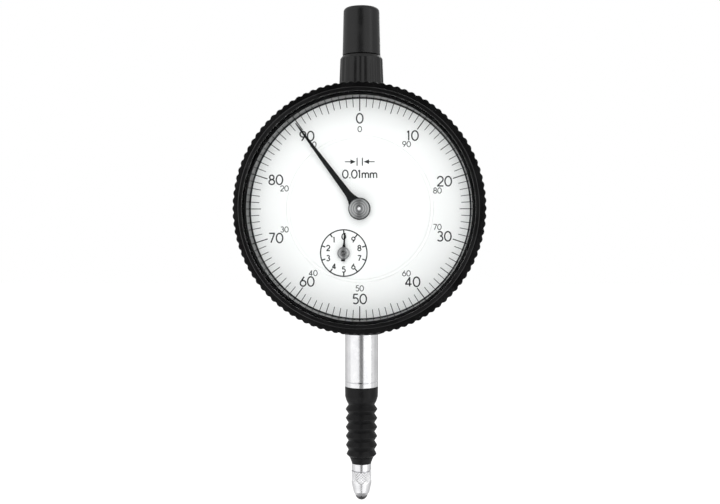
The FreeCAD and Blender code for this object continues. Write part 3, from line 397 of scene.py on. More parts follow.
def arbor_metal(name):
    """Pale, mostly matt end of an arbor that serves as a painted glint, a little cloudy."""
    material, tree, shader = new_material(name)
    clouds = noise(tree, place_node(tree), 3, detail=3)
    # near-white colour with little metal: a painted glint, bright whatever it reflects
    coat(tree, shader, tint(tree, clouds, grey(0.95), grey(0.82, 0.84)), clouds, 0.3, 0.45, metallic=0.3)
    return material


def rubber(name, rough):
    """Black nitrile rubber with a dusty bloom, its reflection turned down in its hollows as painted shade.
    """
    material, tree, shader = new_material(name)
    place = place_node(tree)
    bloom = noise(tree, place, 0.9, detail=5)
    black = tint(tree, bloom, grey(0.003, 0.0032), grey(0.006, 0.0065))
    coat(tree, shader, black, bloom, rough - 0.06, rough + 0.1)
    geometry = tree.nodes.new("ShaderNodeNewGeometry")
    # painted shade: less reflection where the surface is hollow
    hollow_shade_gloss = ranged(tree, geometry.outputs["Pointiness"], 0.42, 0.52, 0.02, 0.20)
    tree.links.new(hollow_shade_gloss, shader.inputs["Specular IOR Level"])
    bump(tree, shader, noise(tree, place, 7, detail=3), 0.003)
    return material


def clear_window(name):
    """Clear acrylic: see-through, with a faint reflection that grows towards grazing angles.

    Only its outward faces reflect, because light goes straight through without bending.
    """
    material, tree, shader = new_material(name)
    tree.nodes.remove(shader)
    output = tree.nodes["Material Output"]
    clear = tree.nodes.new("ShaderNodeBsdfTransparent")
    clear.inputs["Color"].default_value = (0.985, 0.99, 0.988, 1)
    shine = tree.nodes.new("ShaderNodeBsdfGlossy")
    smears = noise(tree, place_node(tree), 0.08, detail=6)
    tree.links.new(spread(tree, smears, 0.01, 0.05), shine.inputs["Roughness"])
    fresnel = tree.nodes.new("ShaderNodeFresnel")
    fresnel.inputs["IOR"].default_value = 1.38
    geometry = tree.nodes.new("ShaderNodeNewGeometry")
    outward = ranged(tree, geometry.outputs["Backfacing"], 0, 1, 1, 0)
    share = tree.nodes.new("ShaderNodeMath")
    share.operation = "MULTIPLY"
    tree.links.new(fresnel.outputs["Fac"], share.inputs[0])
    tree.links.new(outward, share.inputs[1])
    mix = tree.nodes.new("ShaderNodeMixShader")
    tree.links.new(share.outputs["Value"], mix.inputs["Fac"])
    tree.links.new(clear.outputs["BSDF"], mix.inputs[1])
    tree.links.new(shine.outputs["BSDF"], mix.inputs[2])
    tree.links.new(mix.outputs["Shader"], output.inputs["Surface"])
    return material


def brass(name):
    """Milled brass with straight grain and a little tarnish."""
    material, tree, shader = new_material(name)
    grain = noise(tree, place_node(tree, (1, 1, 0.06)), 10, detail=3)
    tarnish = noise(tree, place_node(tree), 0.3, detail=4)
    color = tint(tree, tarnish, (0.78, 0.60, 0.28), (0.62, 0.46, 0.20))
    coat(tree, shader, color, grain, 0.22, 0.36, metallic=1.0)
    bump(tree, shader, grain, 0.001)
    return material


def blued_steel(name):
    """Tempered spring wire, blue with straw patches."""
    material, tree, shader = new_material(name)
    heat = noise(tree, place_node(tree), 0.8, detail=3)
    color = tint(tree, heat, (0.10, 0.16, 0.34), (0.30, 0.27, 0.24))
    coat(tree, shader, color, heat, 0.2, 0.32, metallic=1.0)
    return material


def ruby(name):
    """Polished synthetic ruby."""
    material, tree, shader = new_material(name)
    depth = noise(tree, place_node(tree), 2, detail=2)
    color = tint(tree, depth, (0.55, 0.02, 0.06), (0.75, 0.05, 0.12))
    tree.links.new(color, shader.inputs["Base Color"])
    shader.inputs["Roughness"].default_value = 0.06
    shader.inputs["Transmission Weight"].default_value = 0.6
    shader.inputs["IOR"].default_value = 1.77
    return material


BEZEL_BLACK = moulded_plastic("bezel_black", grey(0.0025, 0.0026), grey(0.004, 0.0042), 0.2, 0.0006)
CAP_BLACK = moulded_plastic("cap_black", grey(0.003, 0.0031), grey(0.006, 0.0063), 0.32, 0.0008)
SATIN_BLACK = satin_paint("case_enamel")
CAST = cast_metal("blasted_casting")
STEM_STEEL = turned_steel("stem_steel", 0.92, 0.18)
CONTACT_STEEL = turned_steel("contact_steel", 0.95, 0.28, line_height=0.0008)
DARK_STEEL = turned_steel("carbide_steel", 0.2, 0.12, line_height=0.0002)
SCREW_STEEL = turned_steel("screw_steel", 0.60, 0.28, along="Y")
WHITE = dial_paint("dial_lacquer")
INK = printing_ink("dial_ink")
HAND_BLACK = lacquer("hand_lacquer")
BOSS_METAL = faced_metal("faced_boss", 0.82)
ARBOR_PAINTED_GLINT = arbor_metal("arbor_painted_glint")
RUBBER = rubber("boot_rubber", 0.34)
SEAL_RUBBER = rubber("seal_rubber", 0.6)
CLEAR = clear_window("clear_acrylic")
BRASS = brass("milled_brass")
BLUED = blued_steel("blued_wire")
RUBY = ruby("ruby_jewel")


# ------------------------ materials of the kept CAD nodes

def finish_cad(material, slot, *nodes):
    """Give kept CAD nodes a material."""
    for name in nodes:
        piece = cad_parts[name]
        piece.data.materials.clear()
        piece.data.materials.append(material)


def soften(width, *nodes):
    """Break the sharp edges of kept CAD nodes with a small bevel."""
    for name in nodes:
        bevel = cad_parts[name].modifiers.new("broken_edges", "BEVEL")
        bevel.width = width * MM
        bevel.segments = 2
        bevel.limit_method = "ANGLE"
        bevel.angle_limit = math.radians(40)
        bevel.harden_normals = True


soften(0.15, "case_body", "lug_back")
soften(0.06, "back_screws", "counter_hand")

finish_cad(SATIN_BLACK, "black_case", "case_body")
finish_cad(CAST, "cast_back", "lug_back")
finish_cad(CAP_BLACK, "black_cap", "dial_retainer")
finish_cad(STEM_STEEL, "polished_steel", "spindle", "guide_pin")
finish_cad(SCREW_STEEL, "polished_steel", "back_screws")
finish_cad(HAND_BLACK, "pointer_black", "counter_hand")
finish_cad(SEAL_RUBBER, "boot_rubber", "bezel_seal", "back_gasket", "crystal_gasket", "rest_buffer")
finish_cad(BRASS, "movement_brass", "main_plate", "upper_bridge", "rear_cock", "bridge_pillars",
           "cock_pillars", "dial_posts", "counter_wheel", "takeup_wheel", "guide_rail",
           "hairspring_collet", "stem_bushes", "upper_bush")
finish_cad(SCREW_STEEL, "movement_steel", "counter_arbor", "rack_pinion", "centre_pinion", "takeup_arbor",
           "plate_screws", "bridge_screws", "cock_screws", "spring_anchor", "hairspring_stud")
finish_cad(BLUED, "spring_steel", "hairspring", "bezel_snap_wire")
finish_cad(RUBY, "jewel_red", "jewel_bearings")


# ------------------------ bezel, dials, crystal, collar and cap

def hand_over(piece, body, slot, *nodes):
    """Let a built piece ride on a body, in place of CAD nodes if any are named."""
    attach(piece, body)
    if nodes:
        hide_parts(*nodes)


def build_bezel():
    """Bezel with a hundred rounded grip lobes."""
    grip_radius = span("bezel", X)[1]
    front, back = span("bezel", Y)
    bore = span("crystal", X)[1] + 0.04
    seat = span("crystal_gasket", Y)[1] + 0.02
    ring_stop = span("dial_ring", Y)[0] - 0.05
    skirt_radius, skirt_length = grip_radius - 0.9, 1.0
    grip_front = front + 2.65
    nose_radius = 27.5
    seat_bore = 25.93
    lobes, lobe_depth, lobe_sharpness = 100, 0.30, 1.5
    segments_per_lobe = 12

    def lobed(angle, radius, along):
        grip = clamp((radius - skirt_radius) / (grip_radius - skirt_radius))
        wave = 0.5 - 0.5 * math.cos(lobes * angle)
        return radius - grip * lobe_depth * wave ** lobe_sharpness

    outline = rounded([
        (bore, back, 0.1), (skirt_radius, back, 0.15), (skirt_radius, back - skirt_length, 0.1),
        (grip_radius, back - skirt_length - 0.35, 0.25), (grip_radius, grip_front, 0.2),
        (nose_radius, grip_front, 0.1), (nose_radius - 0.05, front + 0.2, 0.1),
        (nose_radius - 0.2, front, 0.04), (bore, front, 0.22), (bore, seat, 0.0),
        (seat_bore, seat, 0.8), (seat_bore - 0.08, ring_stop, 0.05),
        (bore, ring_stop, 0.0)])
    bezel = lathe("bezel_shell", outline, "Y", BEZEL_BLACK,
                  segments=lobes * segments_per_lobe, shape=lobed)
    hand_over(bezel, "bezel_group", "black_bezel", "bezel")


def build_dial_faces():
    """Fixed dial and turning ring: the ring's rounded lip overlaps a ledge on the dial."""
    front = span("dial", Y)[0]
    ring_front, ring_back = span("dial_ring", Y)
    ring_radius = span("dial_ring", X)[1]
    seam = span("dial", X)[1] - 0.35
    face_radius, ring_bore = seam - 0.34, seam + 0.26
    lip_rounding = 0.4
    ledge_front, ledge_radius, ledge_end = front + 0.35, seam + 0.9, ring_back + 0.03
    underside = ring_back + 0.25
    hub_hole = 2.0
    face = lathe("dial_face", rounded([
        (hub_hole, front, 0.05), (face_radius, front, lip_rounding),
        (face_radius, ledge_front, 0.05), (ledge_radius, ledge_end, 0),
        (ledge_radius, underside, 0.05),
        (hub_hole, underside, 0)]), "Y", WHITE, segments=256)
    hand_over(face, "case", "dial_white", "dial")
    ring = lathe("dial_ring_face", rounded([
        (ring_bore, ring_front, lip_rounding), (ring_radius, ring_front, 0.05),
        (ring_radius, ring_back, 0.05),
        (ring_bore, ring_back, 0.05)]), "Y", WHITE, segments=256)
    hand_over(ring, "bezel_group", "dial_white", "dial_ring")


def build_crystal():
    """Clear window with a polished bevel in front."""
    front, back = span("crystal", Y)
    radius, bevel = span("crystal", X)[1], 0.3
    outline = rounded([
        (0, back, 0), (radius, back, 0.05), (radius, front + bevel, 0.05),
        (radius - bevel, front, 0.08),
        (0, front, 0)])
    crystal = lathe("crystal_window", outline, "Y", CLEAR, segments=256, closed=False)
    hand_over(crystal, "bezel_group", "crystal_clear", "crystal")


def build_collar():
    """Collar with shallow flutes, rounded at the shoulder, and the spigot that the cap sits on."""
    bottom, top = rise_of("fluted_collar")
    shoulder = rise_of("spindle_cap")[0] - 0.14
    foot_radius, shoulder_radius = 5.40, 5.12
    thread_bore, thread_top = 4.45, 33.05
    spigot_radius, spindle_bore = 3.70, 3.10
    flutes, flute_depth, flute_sharpness = 18, 0.15, 1.5
    flute_top, flute_fade = shoulder - 0.6, 0.4
    flute_bed, bed_fade = 4.6, 0.3
    segments_per_flute = 16

    def fluted(angle, radius, along):
        grip = clamp((flute_top - along) / flute_fade) * clamp((radius - flute_bed) / bed_fade)
        wave = 0.5 + 0.5 * math.cos(flutes * angle)
        return radius - grip * flute_depth * wave ** flute_sharpness

    outline = rounded([
        (thread_bore, bottom, 0), (foot_radius, bottom, 0.15),
        (shoulder_radius, shoulder - 0.75, 0.35), (shoulder_radius - 0.57, shoulder, 0.15),
        (spigot_radius, shoulder, 0.05), (spigot_radius, top, 0.15), (spindle_bore, top, 0.05),
        (spindle_bore, thread_top, 0),
        (thread_bore, thread_top, 0)])
    outline = with_rings(outline, 1, bottom, shoulder)
    collar = lathe("collar_shell", outline, "Z", CAP_BLACK,
                   segments=flutes * segments_per_flute, shape=fluted)
    hand_over(collar, "case", "black_cap", "fluted_collar")


def with_rings(outline, spacing, low, high):
    """Add points along the long edges of an outline that lie between two places."""
    margin = 0.5
    dense = []
    for start, end in zip(outline, outline[1:] + outline[:1]):
        dense.append(start)
        length = abs(end[1] - start[1])
        pieces = int(length // spacing)
        outside = min(start[1], end[1]) < low - margin or max(start[1], end[1]) > high + margin
        if pieces < 2 or outside:
            continue
        for piece in range(1, pieces):
            share = piece / pieces
            dense.append((start[0] + (end[0] - start[0]) * share, start[1] + (end[1] - start[1]) * share))
    return dense


def build_cap():
    """Slightly tapered cap with a socket for the spigot and a hollow for the raised spindle."""
    bottom, top = rise_of("spindle_cap")
    bottom_radius, top_radius = 4.57, 4.30
    socket_radius, socket_top = 3.76, 41.0
    hollow_radius, hollow_top = 3.2, 47.0
    outline = rounded([
        (socket_radius, bottom, 0.05), (bottom_radius, bottom, 0.18), (top_radius, top, 1.0),
        (0, top, 0), (0, hollow_top, 0), (hollow_radius, hollow_top, 0.3),
        (hollow_radius, socket_top, 0.05),
        (socket_radius, socket_top, 0.05)], steps=8)
    cap = lathe("cap_shell", outline, "Z", CAP_BLACK, segments=160)
    hand_over(cap, "top_cap", "black_cap", "spindle_cap")


# ------------------------ stem, boot and contact point

def build_stem():
    """Ground stem with its fine groove."""
    bottom, top = rise_of("stem")
    root = -DIAL_RISE
    radius, shank_radius, nose_radius, bore = 4.0, 3.8, 3.4, 3.02
    clamp_end = root - 12.9
    groove, groove_half, groove_depth = root - 11.62, 0.17, 0.17
    outline = rounded([
        (bore, top, 0.05), (shank_radius, top, 0.1), (shank_radius, root, 0), (radius, root, 0.03),
        (radius, groove + groove_half, 0.02), (radius - groove_depth, groove, 0),
        (radius, groove - groove_half, 0.02), (radius, clamp_end, 0.12),
        (nose_radius, clamp_end, 0.03), (nose_radius, bottom, 0.08),
        (bore, bottom, 0.05)])
    stem = lathe("stem_tube", outline, "Z", STEM_STEEL, segments=160)
    hand_over(stem, "case", "polished_steel", "stem")


def build_boot():
    """Bellows in three lengths: a sleeve on the stem, the folds, and a lip on the spindle."""
    end, top = rise_of("boot")
    wall = 0.45
    shoulder, lip_top = top - 3.4, end + 1.5
    sleeve_radius, sleeve_bore = 4.02, 3.42
    neck_radius, lip_radius = 3.64, 2.90
    mouth_radius, mouth_bore = 2.32, 1.92
    fold_count, pitch = 6, 2.19
    first_valley = top - 4.35
    valley_radius, fold_radius, fold_taper, last_fold_taper = 3.14, 3.88, 0.02, 0.12
    folds = [(neck_radius, shoulder, 0)]
    for fold in range(fold_count):
        valley = first_valley - fold * pitch
        taper = fold_taper * fold + (last_fold_taper if fold == fold_count - 1 else 0)
        folds.append((valley_radius, valley, 0.22))
        folds.append((fold_radius - taper, valley - pitch / 2, 0.14))
    folds.append((lip_radius, lip_top, 0))
    outer = rounded(folds, steps=4)
    inner = [(radius - wall, along) for radius, along in reversed(outer)]
    bellows = lathe("boot_bellows", outer + inner, "Z", RUBBER, segments=128, smooth=60)
    hand_over(bellows, "case", "boot_rubber", "boot")
    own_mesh(bellows)
    sleeve = lathe("boot_sleeve", rounded([
        (sleeve_bore, top, 0.05), (sleeve_radius, top, 0.12),
        (sleeve_radius - 0.04, top - 2.3, 0.9), (neck_radius, shoulder, 0.05),
        (neck_radius - wall, shoulder, 0.05), (neck_radius - wall, shoulder + 0.1, 0),
        (sleeve_bore, shoulder + 0.1, 0)]), "Z", RUBBER, segments=128, smooth=60)
    hand_over(sleeve, "case", "boot_rubber")
    lip = lathe("boot_lip", rounded([
        (lip_radius - wall, lip_top, 0.05), (lip_radius, lip_top, 0.05), (mouth_radius, end, 0.12),
        (mouth_bore, end, 0.05)]), "Z", RUBBER, segments=128, smooth=60)
    hand_over(lip, "plunger", "boot_rubber")


def build_contact():
    """Contact point with a diamond grip, and its ball."""
    bottom, top = rise_of("contact_point")
    shoulder = rise_of("spindle")[0]
    stud_radius, collar_radius, grip_radius, tip_radius = 1.0, 1.95, 2.42, 1.50
    grip_low = shoulder - 3.15
    grip_top, grip_bottom_fade = shoulder - 0.35, 0.7
    diamonds, lead, knurl_depth = 22, 0.62, 0.2
    lip_end = bottom - 0.32
    segments_per_diamond = 16

    def knurled(angle, radius, along):
        share = clamp((grip_top - along) / 0.1) * clamp((along - grip_low) / grip_bottom_fade)
        twist = TAU * (along - grip_low) / (lead * diamonds)
        left = abs(((diamonds * (angle + twist) / TAU) % 1) - 0.5) * 2
        right = abs(((diamonds * (angle - twist) / TAU) % 1) - 0.5) * 2
        return radius - share * knurl_depth * (1 - min(left, right))

    outline = rounded([
        (0, top, 0), (stud_radius, top, 0.1), (stud_radius, shoulder, 0.02),
        (collar_radius, shoulder, 0.02), (collar_radius, shoulder - 0.2, 0.02),
        (grip_radius, shoulder - 0.3, 0.08), (grip_radius, grip_low, 1.5),
        (tip_radius + 0.4, bottom + 0.65, 0.9), (tip_radius, bottom, 0.3),
        (tip_radius - 0.26, lip_end, 0.04),
        (1.0, lip_end, 0)])
    outline = with_rings(outline, 0.06, grip_low, shoulder)
    point = lathe("contact_body", outline + [(0, lip_end)], "Z", CONTACT_STEEL,
                  segments=diamonds * segments_per_diamond, shape=knurled, closed=False, smooth=50)
    hand_over(point, "plunger", "polished_steel", "contact_point")
    low, high = rise_of("contact_ball")
    radius = (high - low) / 2
    steps = 32
    profile = [(radius * math.sin(turn), low + radius - radius * math.cos(turn))
               for turn in (math.pi * step / steps for step in range(steps + 1))]
    ball = lathe("contact_ball_polished", profile, "Z", DARK_STEEL, segments=64, closed=False, smooth=180)
    hand_over(ball, "plunger", "carbide", "contact_ball")


# ------------------------ bosses of the hands

def build_bosses():
    """Turned bosses: a recess in the middle leaves a dark ring round the arbor's end, which on the pointer
    carries a painted glint.
    """
    arbor_bore = 0.42
    front, back = span("pointer_boss", Y)
    rim = span("pointer_boss", X)[1]
    recess = front + 0.5
    boss = lathe("pointer_boss_turned", rounded([
        (arbor_bore, back, 0), (rim, back, 0.05), (rim, front, 0.15), (0.68, front, 0.05),
        (0.64, recess, 0.02),
        (arbor_bore, recess, 0.02)]), "Y", BOSS_METAL, segments=128)
    hand_over(boss, "centre_train", "turned_boss", "pointer_boss")
    # the pointer's arbor end carries the painted glint
    hand_over(arbor_end("pointer_arbor_end", front, ARBOR_PAINTED_GLINT), "centre_train", "polished_steel")
    front, back = span("counter_boss", Y)
    rim = 1.46
    step, recess = back - 0.22, front + 0.3
    small = lathe("counter_boss_turned", rounded([
        (arbor_bore, back, 0), (rim, back, 0.03), (rim, step, 0.08), (1.02, step - 0.04, 0.04),
        (0.94, front, 0.08), (0.60, front, 0.04), (0.57, recess, 0.02),
        (arbor_bore, recess, 0.02)]), "Y", BOSS_METAL, segments=96)
    end = arbor_end("counter_arbor_end", front, DARK_STEEL)
    for piece, slot, nodes in ((small, "turned_boss", ["counter_boss"]), (end, "polished_steel", [])):
        piece.location = DIAL + Vector((COUNTER_ACROSS, 0, COUNTER_RISE)) * MM
        hand_over(piece, "counter_train", slot, *nodes)


def arbor_end(name, front, material):
    """Dome on the end of an arbor, in the recess of a boss, in the material given."""
    radius, base, steps = 0.43, front + 0.3, 8
    dome = [(radius * math.sin(turn), front + 0.05 - radius * math.cos(turn))
            for turn in (math.pi / 2 * step / steps for step in range(steps + 1))]
    return lathe(name, dome + [(radius, base), (0, base)], "Y", material, segments=64, closed=False)


# ------------------------ hands

def blade(name, rows, depth, thickness, degrees):
    """Flat blade along a clock direction, from (distance, half width) rows, with bevelled long edges."""
    bevel = thickness * 0.3
    turn = math.radians(degrees)
    across, along = Vector((math.cos(turn), -math.sin(turn))), Vector((math.sin(turn), math.cos(turn)))
    verts = []
    for distance, half in rows:
        for side, level in ((-half, bevel), (-half + bevel, 0), (half - bevel, 0), (half, bevel),
                            (half, thickness), (-half, thickness)):
            spot = along * distance + across * side
            verts.append((spot.x, depth + level, spot.y))
    around = len(verts) // len(rows)
    return new_piece(name, verts, tube_faces(len(rows), around), HAND_BLACK, smooth=20)


def flare(near, far, wide, narrow):
    """Rows that narrow in a hollow curve from one half width to another."""
    steps, hollowness = 8, 2.2
    return [(near + (far - near) * share, narrow + (wide - narrow) * (1 - share) ** hollowness)
            for share in (step / steps for step in range(steps + 1))]


def build_hands():
    """Pointer: a lacquered blade that flares into a round hub."""
    front, back = span("pointer", Y)
    hub_bore, hub_radius = 1.0, 2.58
    hub = lathe("pointer_hub", rounded([
        (hub_bore, front, 0), (hub_radius, front, 0.06), (hub_radius, back, 0.06),
        (hub_bore, back, 0)]), "Y", HAND_BLACK, segments=128)
    hand_over(hub, "centre_train", "pointer_black", "pointer")
    low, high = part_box("pointer")
    tip = Vector((low.x / MM, high.z / MM - DIAL_RISE))
    degrees = math.degrees(math.atan2(tip.x, tip.y))
    inset = 0.02
    rows = flare(near=2.1, far=5.6, wide=1.45, narrow=0.72) + [(14.0, 0.5), (tip.length, 0.12)]
    pointer = blade("pointer_blade", rows, front + inset, back - front - 2 * inset, degrees)
    hand_over(pointer, "centre_train", "pointer_black")


# ------------------------ printing on the dials

class Print:
    """Thin raised shapes on a dial, gathered into one mesh."""

    thickness = 0.015

    def __init__(self, surface):
        self.surface = surface
        self.verts = []
        self.faces = []

    def strip(self, left, right, closed=False):
        """Solid ribbon between two rows of (across, rise) points."""
        base = len(self.verts)
        count = len(left)
        for row, depth in ((left, self.surface), (right, self.surface),
                           (left, self.surface - self.thickness), (right, self.surface - self.thickness)):
            self.verts += [(across, depth, rise) for across, rise in row]
        back_left, back_right, front_left, front_right = (base + count * row for row in range(4))
        for here in range(count if closed else count - 1):
            there = (here + 1) % count
            for first, second in ((back_left, back_right), (front_right, front_left),
                                  (front_left, back_left), (back_right, front_right)):
                self.faces.append((first + here, first + there, second + there, second + here))
        if not closed:
            for end in (0, count - 1):
                self.faces.append((back_left + end, back_right + end, front_right + end, front_left + end))

    def line(self, path, width, closed=False):
        """Ribbon of even width along a path of (across, rise) points."""
        spots = [Vector(spot) for spot in path]
        count = len(spots)
        left, right = [], []
        for index, spot in enumerate(spots):
            before = spots[index - 1] if index or closed else None
            after = spots[(index + 1) % count] if index < count - 1 or closed else None
            arrive = (spot - before).normalized() if before is not None else (after - spot).normalized()
            leave = (after - spot).normalized() if after is not None else arrive
            along = (arrive + leave).normalized()
            side = Vector((-along.y, along.x)) * (width / 2) / max(0.6, along.dot(leave))
            left.append(tuple(spot + side))
            right.append(tuple(spot - side))
        self.strip(left, right, closed)

    def piece(self, name):
        """The gathered shapes as one mesh piece."""
        return new_piece(name, self.verts, self.faces, INK, smooth=0)


def arc(centre, radii, start, end, steps=14):
    """Points on an ellipse from one angle to another, in degrees."""
    return [(centre[0] + radii[0] * math.cos(math.radians(start + (end - start) * step / steps)),
             centre[1] + radii[1] * math.sin(math.radians(start + (end - start) * step / steps)))
            for step in range(steps + 1)]


def loop(centre, radii, steps=32):
    """Points round a closed ellipse."""
    return arc(centre, radii, 0, 360, steps)[:-1]


# Each sign: half its width, then its strokes as (path, closed) in units of its height.
SIGNS = {
    "0": (0.34, [(loop((0, 0.5), (0.34, 0.5)), True)]),
    "1": (0.13, [([(-0.15, 0.84), (0.0, 1.0)], False), ([(0.0, 1.03), (0.0, 0.0)], False)]),
    "2": (0.30, [(arc((0, 0.70), (0.29, 0.30), 172, -38) + [(-0.27, 0.04)], False),
                 ([(-0.34, 0.0), (0.33, 0.0)], False)]),
    "3": (0.28, [(arc((-0.02, 0.76), (0.24, 0.24), 150, -90), False),
                 (arc((-0.02, 0.27), (0.29, 0.27), 90, -150), False)]),
    "4": (0.32, [([(0.12, 0.0), (0.12, 1.0)], False), ([(0.14, 0.99), (-0.32, 0.27)], False),
                 ([(-0.36, 0.25), (0.32, 0.25)], False)]),
    "5": (0.28, [([(0.24, 1.0), (-0.19, 1.0)], False), ([(-0.17, 1.02), (-0.24, 0.53)], False),
                 (arc((-0.02, 0.31), (0.30, 0.31), 132, -140), False)]),
    "6": (0.30, [(loop((0, 0.30), (0.30, 0.30)), True), ([(-0.25, 0.46), (0.12, 1.0)], False)]),
    "7": (0.29, [([(-0.29, 1.0), (0.31, 1.0)], False), ([(0.28, 1.0), (-0.10, 0.0)], False)]),
    "8": (0.29, [(loop((0, 0.76), (0.23, 0.24)), True), (loop((0, 0.26), (0.29, 0.26)), True)]),
    "9": (0.30, [(loop((0, 0.70), (0.30, 0.30)), True), ([(0.25, 0.54), (-0.12, 0.0)], False)]),
    ".": (0.04, [([(0.0, -0.03), (0.0, 0.10)], False)]),
    "m": (0.42, [([(-0.40, 0.0), (-0.40, 0.66)], False),
                 (arc((-0.20, 0.42), (0.20, 0.22), 180, 0) + [(0.0, 0.0)], False),
                 (arc((0.20, 0.42), (0.20, 0.22), 180, 0) + [(0.40, 0.0)], False)]),
}
SIGN_GAP = 0.19


def write(print_job, text, centre, height, stroke):
    """Write signs upright round a centre point."""
    widths = [2 * SIGNS[sign][0] for sign in text]
    total = sum(widths) + SIGN_GAP * (len(text) - 1)
    cursor = -total / 2
    for sign, width in zip(text, widths):
        middle_of_sign = cursor + width / 2
        for path, closed in SIGNS[sign][1]:
            placed = [(centre[0] + (across + middle_of_sign) * height, centre[1] + (rise - 0.5) * height)
                      for across, rise in path]
            print_job.line(placed, stroke, closed)
        cursor += width + SIGN_GAP


def clock_point(radius, degrees):
    """Point at a radius, clockwise from the top."""
    angle = math.radians(degrees)
    return radius * math.sin(angle), radius * math.cos(angle)


def build_ring_print():
    """Hundred graduations, both rows of numbers and a black ring of painted shade at the rim, turning with
    the bezel.
    """
    scale = Print(span("dial_ring", Y)[0])
    marks, line_end = 100, 26.2
    for mark in range(marks):
        if mark % 10 == 0:
            line_start, width = 22.80, 0.24
        elif mark % 5 == 0:
            line_start, width = 23.25, 0.19
        else:
            line_start, width = 23.70, 0.16
        degrees = 360 / marks * mark
        scale.line([clock_point(line_start, degrees), clock_point(line_end, degrees)], width)
    # black ring at the dial's edge: painted shade for the gap at the foot of the bezel wall
    shade_ring_radius, shade_ring_width = 25.85, 0.46
    scale.line(loop((0, 0), (shade_ring_radius, shade_ring_radius), steps=240), shade_ring_width, closed=True)
    number_ring, number_height, small_ring, small_height = 21.1, 2.2, 18.6, 1.25
    tens = 10
    for ten in range(tens):
        degrees = 360 / tens * ten
        sideways = math.sin(math.radians(degrees))
        upper = math.copysign(1, math.cos(math.radians(degrees)))
        beside = abs(sideways) > 0.9
        # the numbers at the left stand a little further from the level line than those at the right
        apart = 0.42 * upper if beside and sideways < 0 else 0
        across, rise = clock_point(number_ring - 0.45 * sideways ** 4, degrees)
        write(scale, str(tens * ten), (across, rise + apart), number_height, 0.32)
        # beside the big numbers the small ones move round towards the level line
        clear_of_big = 4.8 * math.copysign(1, sideways) * upper if beside else 0
        across, rise = clock_point(small_ring, degrees + clear_of_big)
        backwards = str((marks - tens * ten) % marks)
        write(scale, backwards, (across + abs(apart), rise + 1.35 * apart), small_height, 0.19)
    hand_over(scale.piece("dial_ring_print"), "bezel_group", "pointer_black")


def build_centre_print():
    """Unit sign, spacing sign and the turn counter's circle on the fixed dial."""
    scale = Print(span("dial", Y)[0])
    write(scale, "0.01mm", (0.0, 8.12), 1.85, 0.30)
    print_spacing_sign(scale)
    centre = Vector((COUNTER_ACROSS, COUNTER_RISE))
    circle, tick_start, number_ring = 5.45, 4.55, 3.85
    scale.line(loop(centre, (circle, circle), steps=96), 0.30, closed=True)
    turns = 10
    for turn in range(turns):
        degrees = -360 / turns * turn
        tick = [tuple(centre + Vector(clock_point(radius, degrees))) for radius in (tick_start, circle)]
        scale.line(tick, 0.3)
        write(scale, str(turn), centre + Vector(clock_point(number_ring, degrees)), 1.25, 0.27)
    hand_over(scale.piece("dial_centre_print"), "case", "pointer_black")


def print_spacing_sign(scale):
    """Two arrows that point at the gap between two short lines."""
    rise = 11.0
    tail_end, head_start, head_tip, head_half = 3.48, 2.18, 1.0, 0.55
    bar_across, bar_half = 0.62, 0.93
    for side in (-1, 1):
        scale.line([(side * tail_end, rise), (side * (head_start - 0.08), rise)], 0.22)
        scale.strip([(side * head_start, rise + head_half), (side * head_tip, rise + 0.03)],
                    [(side * head_start, rise - head_half), (side * head_tip, rise - 0.03)])
        scale.line([(side * bar_across, rise - bar_half), (side * bar_across, rise + bar_half)], 0.25)


# ------------------------ return spring

def build_return_spring():
    """Coil that stretches between its anchor and the guide pin."""
    wire = 0.2
    low, high = rise_of("return_spring")
    left, right = span("return_spring", X)
    across, radius = (left + right) / 2, (right - left) / 2 - wire
    turns, steps_per_turn, ring = 21, 24, 10
    steps = turns * steps_per_turn
    verts = []
    for step in range(steps + 1):
        angle = TAU * turns * step / steps
        rise = low + wire + (high - low - 2 * wire) * step / steps
        for corner in range(ring):
            turn = TAU * corner / ring
            reach = radius + wire * math.cos(turn)
            verts.append((across + reach * math.cos(angle), reach * math.sin(angle),
                          rise + wire * math.sin(turn)))
    spring = new_piece("return_spring_coil", verts, tube_faces(steps + 1, ring), BLUED)
    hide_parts("return_spring")
    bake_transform(spring)


build_bezel()
build_dial_faces()
build_crystal()
build_collar()
build_cap()
build_stem()
build_boot()
build_contact()
build_bosses()
build_hands()
build_ring_print()
build_centre_print()
build_return_spring()


# ------------------------ studio

def paper(name, shade, glow):
    """Pale or black paper, a little uneven, that glows by so much."""
    material, tree, shader = new_material(name)
    fibre = noise(tree, place_node(tree), 0.02, detail=3)
    tree.links.new(tint(tree, fibre, grey(shade), grey(shade * 0.99)), shader.inputs["Base Color"])
    shader.inputs["Roughness"].default_value = 0.9
    shader.inputs["Emission Color"].default_value = (1, 1, 1, 1)
    shader.inputs["Emission Strength"].default_value = glow
    return material


def stage_sheet(name, corners, material):
    """Flat staged sheet through four corners, in metres."""
    mesh = bpy.data.meshes.new(name)
    mesh.from_pydata(corners, [], [(0, 1, 2, 3)])
    mesh.materials.append(material)
    sheet = bpy.data.objects.new(name, mesh)
    bpy.context.scene.collection.objects.link(sheet)
    return sheet


def build_floor():
    """Wide pale floor well below the object, which glows so that it photographs as white."""
    low, reach = -0.28, 5.0
    floor = stage_sheet("floor", [(-reach, -reach, low), (reach, -reach, low), (reach, reach, low),
                                  (-reach, reach, low)], paper("pale_paper", 0.85, 0.8))
    floor.visible_glossy = False


def build_camera_card():
    """Three cards at the camera that only reflections see, to keep shiny fronts dark."""
    depth = -0.236
    low, waist, brow, top = (DIAL_RISE * MM + rise for rise in (-0.16, -0.05, 0.055, 0.16))
    for name, left, right, bottom, roof, glow in (("card_foot", -0.024, 0.068, low, waist, 0.22),
                                                  ("card_head", -0.085, 0.062, waist, brow, 0.0),
                                                  ("card_crown", -0.08, 0.055, brow, top, 0.0)):
        card = stage_sheet(name, [(left, depth, bottom), (right, depth, bottom), (right, depth, roof),
                                  (left, depth, roof)], paper(name + "_black", 0.002, glow))
        card.visible_camera = False
        card.visible_diffuse = False
        card.visible_shadow = False


